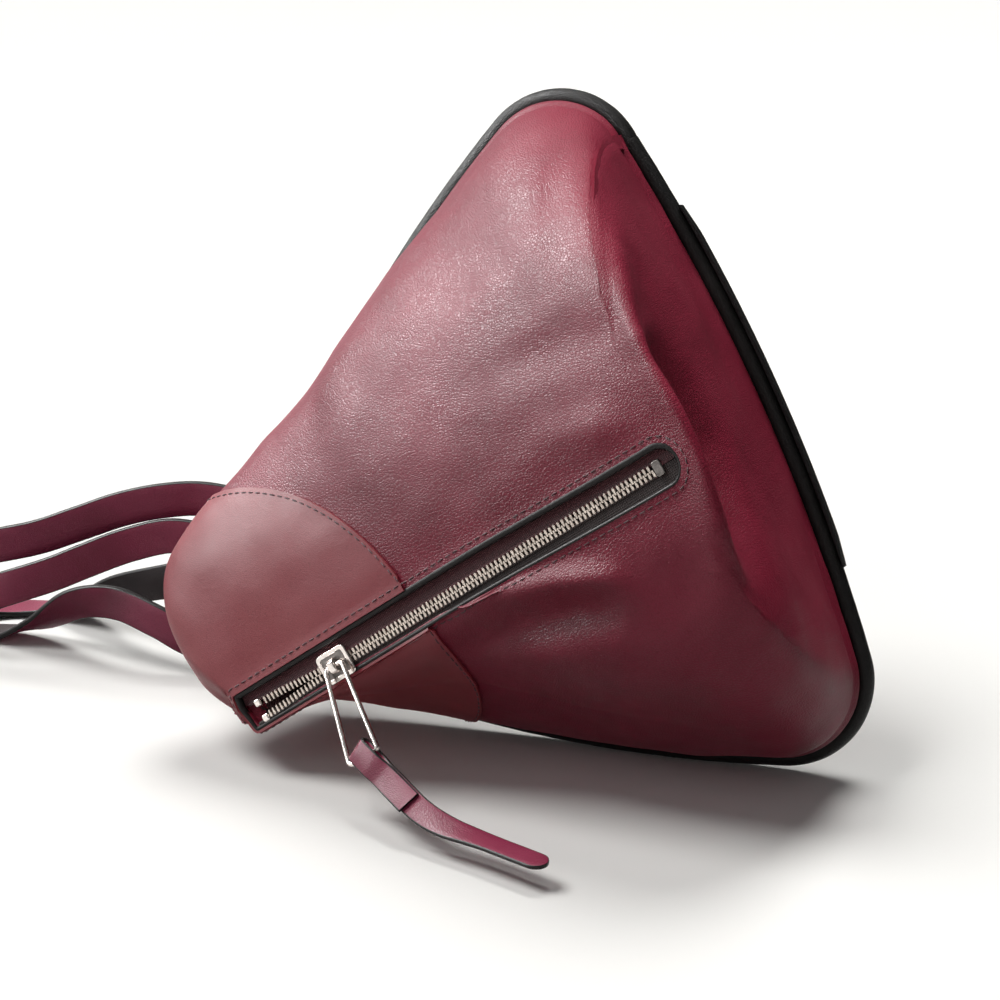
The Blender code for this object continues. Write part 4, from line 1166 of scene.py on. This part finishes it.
def make_slider():
    """A box-shaped slider: a plate with a raised frame, a dark sheet of painted shade inside the frame, side
    walls, a bridge, and a plate below.
    """
    outer = rounded_rectangle(slider_length, 2 * slider_half_width, slider_corner)
    inner = rounded_rectangle(slider_length - 2 * slider_rim, 2 * (slider_half_width - slider_rim),
                              slider_corner / 2)
    top = PLATE_INNER + slider_plate
    frame_low = top - frame_height
    wall_low = tape_thickness / 2 + run_gap
    # The raised frame round the plate's edge
    layers = ((outer, frame_low), (outer, top), (inner, top), (inner, frame_low))
    rim = [(x, y, z) for ring, z in layers for x, y in ring], quads(4, len(outer), True, True)
    parts = [slab(outer, PLATE_INNER, frame_low), rim, *slider_walls(wall_low, top - wall_drop)]
    piece("slider_top", joined(parts), "nickel", SLIDER, "slider", "pale_nickel", "slider_body",
          bevel=slider_bevel, segments=2)
    # A thin dark sheet inside the frame: painted shade for the frame's sunken middle
    shape = slab(inner, frame_low, frame_low + recess_shade_thickness)
    piece("slider_recess_shade", shape, "dull_metal_and_recess_shade", SLIDER, "slider", "pale_nickel")
    # The bridge over the ring's bar
    rise = 2 * (ring_wire_radius + seam_gap) + bridge_wall
    route = []
    for step in range(bridge_steps + 1):
        angle = math.pi * step / bridge_steps
        y = -(bridge_length - bridge_wall) / 2 * math.cos(angle)
        lift = (rise - bridge_wall / 2) * min(1, math.sin(angle) * bridge_squareness)
        route.append(Vector((0, y, top - wall_drop + lift)))
    profile = rounded_rectangle(bridge_width, bridge_wall, bridge_wall * 0.4, 3)
    uprights = [Vector((1, 0, 0)).cross(direction(route, i)) for i in range(len(route))]
    shape = swept(route, profile, False, uprights)
    piece("slider_bridge", shape, "nickel", SLIDER, "slider", "pale_nickel")
    parts = [slab(outer, -top, -PLATE_INNER), *slider_walls(-top, -wall_low)]
    piece("slider_under", joined(parts), "nickel", SLIDER, "slider", "pale_nickel", "slider_base",
          bevel=slider_bevel, segments=2)


def make_ring():
    """The wire ring: a rounded rectangle that widens towards its far bar."""
    near = ring_near_width - 2 * ring_wire_radius
    far = ring_far_width - 2 * ring_wire_radius
    corners = rounded_rectangle(RING_REACH, near, ring_corner, ring_corner_steps)
    route = []
    for i, (y0, x0) in enumerate(corners):
        y1, x1 = corners[(i + 1) % len(corners)]
        steps = 1 if math.hypot(y1 - y0, x1 - x0) < ring_corner else ring_leg_steps
        for step in range(steps):
            y, x = y0 + (y1 - y0) * step / steps, x0 + (x1 - x0) * step / steps
            share = 0.5 + y / RING_REACH
            route.append(Vector((x * (1 + (far / near - 1) * share), RING_REACH / 2 + y, 0)))
    shape = swept(route, round_profile(ring_look_radius, ring_sides), True)
    piece("wire_ring", shape, "nickel", RING, "ring", "pale_nickel", "pull_ring")


def ribbon_profile(width, thickness, edge=0.0006):
    """A flat strip's section with soft edges: its first points are the outer face."""
    half, deep = width / 2, thickness / 2
    return [(-half + edge, deep), (-half * 0.5, deep * 1.06), (0, deep * 1.08), (half * 0.5, deep * 1.06),
            (half - edge, deep), (half - edge * 0.3, deep - edge * 0.3), (half, 0),
            (half - edge * 0.3, -deep + edge * 0.3), (half - edge, -deep), (0, -deep), (-half + edge, -deep),
            (-half + edge * 0.3, -deep + edge * 0.3), (-half, 0), (-half + edge * 0.3, deep - edge * 0.3)]


def ribbon(name, route, sides, width, thickness, finishes, place, narrow=None, flipped=False):
    """A strip along a route: its finishes go outer face, inner face, edges."""
    profile = ribbon_profile(width, thickness)
    count = len(profile)
    points = []
    turn = -1 if flipped else 1
    for i, spot in enumerate(route):
        along = direction(route, i)
        side = (sides[i] - along * sides[i].dot(along)).normalized()
        up = side.cross(along) * turn
        scale = turn * (narrow[i] if narrow else 1)
        points.extend(spot + side * (a * scale) + up * b for a, b in profile)
    faces = [(a, d, c, b) for a, b, c, d in quads(len(route), count, False, True)]
    faces.append(tuple(range(count)))
    faces.append(tuple(reversed(range(len(points) - count, len(points)))))
    made = mesh_from(name, points, faces, [looks[finish] for finish in finishes], place, 75)
    kinds = [0 if k < 4 else 1 if 8 <= k < 10 else 2 for k in range(count)]
    made.data.polygons.foreach_set("material_index", kinds * (len(route) - 1) + [2, 2])
    return made


def pull_places():
    """The pull's centre line as (along, across, rise): the fold's upper layer, its loop, and the tail."""
    radius = ring_wire_radius + run_gap + pull_thickness / 2
    layer = (pull_thickness + seam_gap) / 2
    closed_from = 3 * pull_loop_length
    fold = []
    for step in range(pull_fold_steps + 1):
        share = step / pull_fold_steps
        fold.append((pull_fold_length + (closed_from - pull_fold_length) * share, layer))
    for step in range(1, pull_fold_steps):
        share = step / pull_fold_steps
        rise = layer + (radius - layer) * smooth_share(share)
        fold.append((closed_from + (pull_loop_length - closed_from) * share, rise))
    fold += [(pull_loop_length, radius), (0, radius)]
    half_turn = []
    for step in range(pull_turn_steps + 1):
        angle = math.pi * (0.5 + step / pull_turn_steps)
        half_turn.append((radius * math.cos(angle) - pull_loop_end, radius * math.sin(angle)))
    under = [(along, -rise) for along, rise in fold[::-1]]
    places = [(along, 0, rise) for along, rise in fold + half_turn + under]
    flat_count = len(places)
    along, across, rise = places[-1]
    angle = 0
    for step in range(pull_bend_steps):
        angle += pull_bend / pull_bend_steps
        along += pull_bend_length / pull_bend_steps * math.cos(angle)
        across += pull_bend_length / pull_bend_steps * math.sin(angle)
        places.append((along, across, rise))
    for share in [i / 30 for i in range(1, 27)] + [0.90, 0.93, 0.955, 0.975, 0.988, 0.996, 1.0]:
        reach = share * pull_straight_length
        places.append((along + reach * math.cos(angle), across + reach * math.sin(angle), rise))
    return places, flat_count


def make_pull():
    """A leather strip folded loosely round the ring's far bar, with black painted edges."""
    places, flat_count = pull_places()
    count = len(places)
    tails = [smooth_share((i - flat_count) / (count - flat_count) * pull_tail_haste) for i in range(count)]
    turned = Matrix.Rotation(pull_yaw, 3, "Z")
    route = []
    for (along, across, rise), tail in zip(places, tails):
        place = turned @ Vector((-across, along, rise - pull_tail_drop * tail))
        route.append(place + Vector((-pull_shift, 0, 0)))
    sides = []
    for i in range(count):
        run = turned @ Vector((0, 1, 0)) if i < flat_count - 1 else direction(route, i)
        side = Vector((run.y, -run.x, 0)).normalized()
        rolled = fold_roll * smooth_share(places[i][0] / pull_fold_length)
        rolled += (pull_roll - fold_roll) * tails[i]
        sides.append(Matrix.Rotation(rolled, 3, Vector((run.x, run.y, 0))) @ side)
    run = run_along(np.array(route))
    narrow = []
    for left in run[-1] - run:
        drop = max(1 - left / (pull_width / 2), 0)
        narrow.append(max(math.sqrt(max(1 - drop * drop, 0)), pull_tip_share))
    pull = ribbon("leather_pull", route, sides, pull_width, pull_look_thickness,
                  ("strap", "strap", "edge"), PULL, narrow)
    carry(pull, "pull", "grained_leather", "zip_pull")


# Straps and tabs


def smooth_route(points, steps):
    """More points on a smooth curve through the given ones."""
    made = []
    count = len(points)
    for i in range(count - 1):
        a, b, c, d = (points[min(max(i + k, 0), count - 1)] for k in (-1, 0, 1, 2))
        for step in range(steps):
            t = step / steps
            made.append(tuple(
                0.5 * (2 * q + (r - p) * t + (2 * p - 5 * q + 4 * r - s) * t * t
                       + (3 * q - p - 3 * r + s) * t ** 3)
                for p, q, r, s in zip(a, b, c, d)))
    made.append(points[-1])
    return made


def strap_places(start, start_side, shares, finish, finish_side):
    """The strap's centre line on and over the floor, with its width direction at each point."""
    middle = [Vector(row[:3]) * strap_run_length for row in shares]
    places = start + [place + ON_FLOOR for place in middle] + finish
    sides = [start_side] * len(start)
    for index, row in enumerate(shares):
        along = direction(middle, index)
        upright = Vector((0, 0, 1))
        upright = (upright - along * upright.dot(along)).normalized()
        turn = math.radians(row[3])
        sides.append(upright * math.cos(turn) + along.cross(upright) * math.sin(turn))
    sides += [finish_side] * len(finish)
    for index in range(1, len(sides)):
        if sides[index].dot(sides[index - 1]) < 0:
            sides[index] = -sides[index]
    rows = [tuple(place) + tuple(side) for place, side in zip(places, sides)]
    route = rows[:1] + smooth_route(rows, strap_steps)[strap_steps:-strap_steps] + rows[-1:]
    places = [Vector(row[:3]) for row in route]
    sides = [Vector(row[3:]) for row in route]
    for index, place in enumerate(places):
        along = direction(places, index)
        side = (sides[index] - along * sides[index].dot(along)).normalized()
        lowest = place.z - abs(side.z) * strap_width / 2 - abs(side.cross(along).z) * strap_thickness / 2
        if lowest < floor_gap:
            place.z += floor_gap - lowest
    return places, sides


def make_tab(name, thread_name, ring, thread_inset, replaced):
    """A flat tab on the back panel, with a row of stitches just inside its edge."""
    low = TAB_HEIGHT - tab_thickness / 2
    piece(name, slab(ring, low, TAB_HEIGHT + tab_thickness / 2), "strap", BAG,
          "bag", "grained_leather", replaced, bevel=tab_bevel)
    middle = np.mean(ring, axis=0)
    size = np.max(np.linalg.norm(np.array(ring) - middle, axis=1))
    route = [Vector((*(middle + (np.array(p) - middle) * (1 - thread_inset / size)), low)) for p in ring]
    stitches(thread_name, route, [Vector((0, 0, -1))] * len(route), "grained_leather")


def make_tabs_and_straps():
    strap_height = TAB_HEIGHT - tab_thickness / 2 - seam_gap - strap_thickness / 2
    from_x = panel_height - top_tab_length
    ring = [point for point in outline(top_tab_inset) if point[0] > from_x]
    make_tab("end_tab", "end_tab_stitches", ring, wide_thread_inset, "top_tab")
    top_along = Vector((math.cos(strap_angle), math.sin(strap_angle)))
    top_across = Vector((-top_along.y, top_along.x))
    top_middle = Vector((panel_height - strap_margin, -strap_side_offset))
    for side, label, shares in ((-1, "upper", upper_strap_shares), (1, "lower", lower_strap_shares)):
        corner = Vector((base_tab_margin, -side * (panel_width / 2 - base_tab_inset)))
        turn = side * base_tab_angle
        along = Vector((math.cos(turn), math.sin(turn)))
        across = Vector((-along.y, along.x))
        ring = [tuple(corner + along * x + across * y)
                for x, y in rounded_rectangle(base_tab_length, base_tab_width, tab_corner)]
        end = "lower" if side < 0 else "upper"
        make_tab("corner_tab_" + end, "corner_tab_stitches_" + end, ring, narrow_thread_inset,
                 "base_tab_" + end)
        on_tab = top_middle + top_across * side * strap_spacing / 2
        start = [BAG @ Vector((*(on_tab + top_along * reach), strap_height))
                 for reach in (-strap_seat, strap_seat)]
        finish = [BAG @ Vector((*(corner - along * reach), strap_height))
                  for reach in (-strap_seat, strap_seat)]
        start_side = ROTATION @ Vector((*top_across, 0))
        finish_side = ROTATION @ Vector((*across, 0))
        places, sides = strap_places(start, start_side, shares, finish, finish_side)
        strap = ribbon("shoulder_strap_" + label, places, sides, strap_width, strap_thickness,
                       ("strap", "inside", "edge"), None, None, True)
        carry(strap, "bag", "grained_leather", "strap_" + label)


def dress_inner_pieces():
    """The board and the panel's lining keep their solids and get their own finish."""
    for name, look in (("panel_board", "board"), ("panel_lining", "lining")):
        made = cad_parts[name]
        made.data.materials.clear()
        made.data.materials.append(looks[look])


# Camera, lights and floor


def make_camera():
    data = bpy.data.cameras.new("camera")
    data.sensor_width = camera_sensor
    data.lens = camera_lens
    made = linked("camera", data)
    ahead = Vector((0, math.cos(camera_pitch), -math.sin(camera_pitch)))
    target = Vector((camera_target_side, 0, camera_target_height)) + ON_FLOOR
    made.location = target - ahead * camera_distance
    made.rotation_euler = (math.pi / 2 - camera_pitch, 0, 0)
    bpy.context.scene.camera = made
    return target


def make_lamp(name, target, source, distance, size, power):
    """A round lamp that only adds highlights."""
    data = bpy.data.lights.new(name, "AREA")
    data.shape = "DISK"
    data.size = size
    data.energy = power
    made = linked(name, data)
    away = Vector(source).normalized()
    made.location = target + away * distance
    made.visible_diffuse = False
    made.rotation_euler = away.to_track_quat("Z", "Y").to_euler()


def make_sun(name, source, strength, width, colour):
    data = bpy.data.lights.new(name, "SUN")
    data.energy = strength
    data.angle = math.radians(width)
    data.color = colour
    linked(name, data).rotation_euler = Vector(source).to_track_quat("Z", "Y").to_euler()


def make_world():
    world = bpy.data.worlds.new("studio")
    bpy.context.scene.world = world
    world.use_nodes = True
    tree = world.node_tree
    tree.nodes.clear()
    output = tree.nodes.new("ShaderNodeOutputWorld")
    light = node(tree, "Background", 0, {"Color": (1.0, 0.99, 0.98), "Strength": world_strength})
    tree.links.new(light, output.inputs["Surface"])


def make_floor():
    """A pale floor that runs up into a backdrop far behind, whose far part looks white."""
    rows = [(floor_near + floor_step * i, 0.0) for i in range(floor_rows)]
    far = rows[-1][0]
    for step in range(1, backdrop_steps + 1):
        angle = math.pi / 2 * step / backdrop_steps
        rows.append((far + backdrop_bend * math.sin(angle), backdrop_bend * (1 - math.cos(angle))))
    rows.append((rows[-1][0], backdrop_height))
    points = [(x, y, z) for y, z in rows for x in (-floor_half_width, floor_half_width)]
    made, tree, shader, where = new_material("pale_floor", 0.9)
    tone = ramp(tree, noise_node(tree, where, 3, 2), ((0.3, floor_colours[0]), (0.7, floor_colours[1])))
    y = node(tree, "SeparateXYZ", "Y", {0: where})
    seen = [node(tree, "LightPath", f"Is {kind} Ray", {}) for kind in ("Camera", "Glossy", "Transmission")]
    looked_at = combined(tree, "MAXIMUM", combined(tree, "MAXIMUM", seen[0], seen[1]), seen[2])
    glow = combined(tree, "MULTIPLY", spread(tree, y, *backdrop_glow_from_to, 0.0, backdrop_glow), looked_at)
    fill(tree, shader, {"Base Color": tone, "Specular IOR Level": 0.2, "Emission Color": (1, 1, 0.985),
                        "Emission Strength": glow})
    floor = mesh_from("floor", points, quads(len(rows), 2, False, False), [made])
    floor.visible_diffuse = False


def make_card():
    """A dark card at the right that only reflections show, as studios stand beside a glossy thing."""
    points = [(x, y, z) for x, y in card_corners for z in (0.001, card_height)]
    made, tree, shader = new_material("dark_card", 0.9)[:3]
    fill(tree, shader, {"Base Color": card_colour})
    card = mesh_from("dark_card", points, quads(len(card_corners), 2, False, False), [made])
    card.visible_camera = False
    card.visible_diffuse = False
    card.visible_shadow = False
    card.visible_transmission = False


def make_scene():
    view = bpy.context.scene.view_settings
    view.view_transform = "Standard"
    target = make_camera()
    make_world()
    make_floor()
    for sun in suns:
        make_sun(*sun)
    for name, *values in sheen_lamps:
        make_lamp(name, target, *values)
    make_card()


make_scene()
make_body()
make_patch()
make_panel()
make_piping()
make_slot_edge()
make_zip()
make_slider()
make_ring()
make_pull()
make_tabs_and_straps()
dress_inner_pieces()
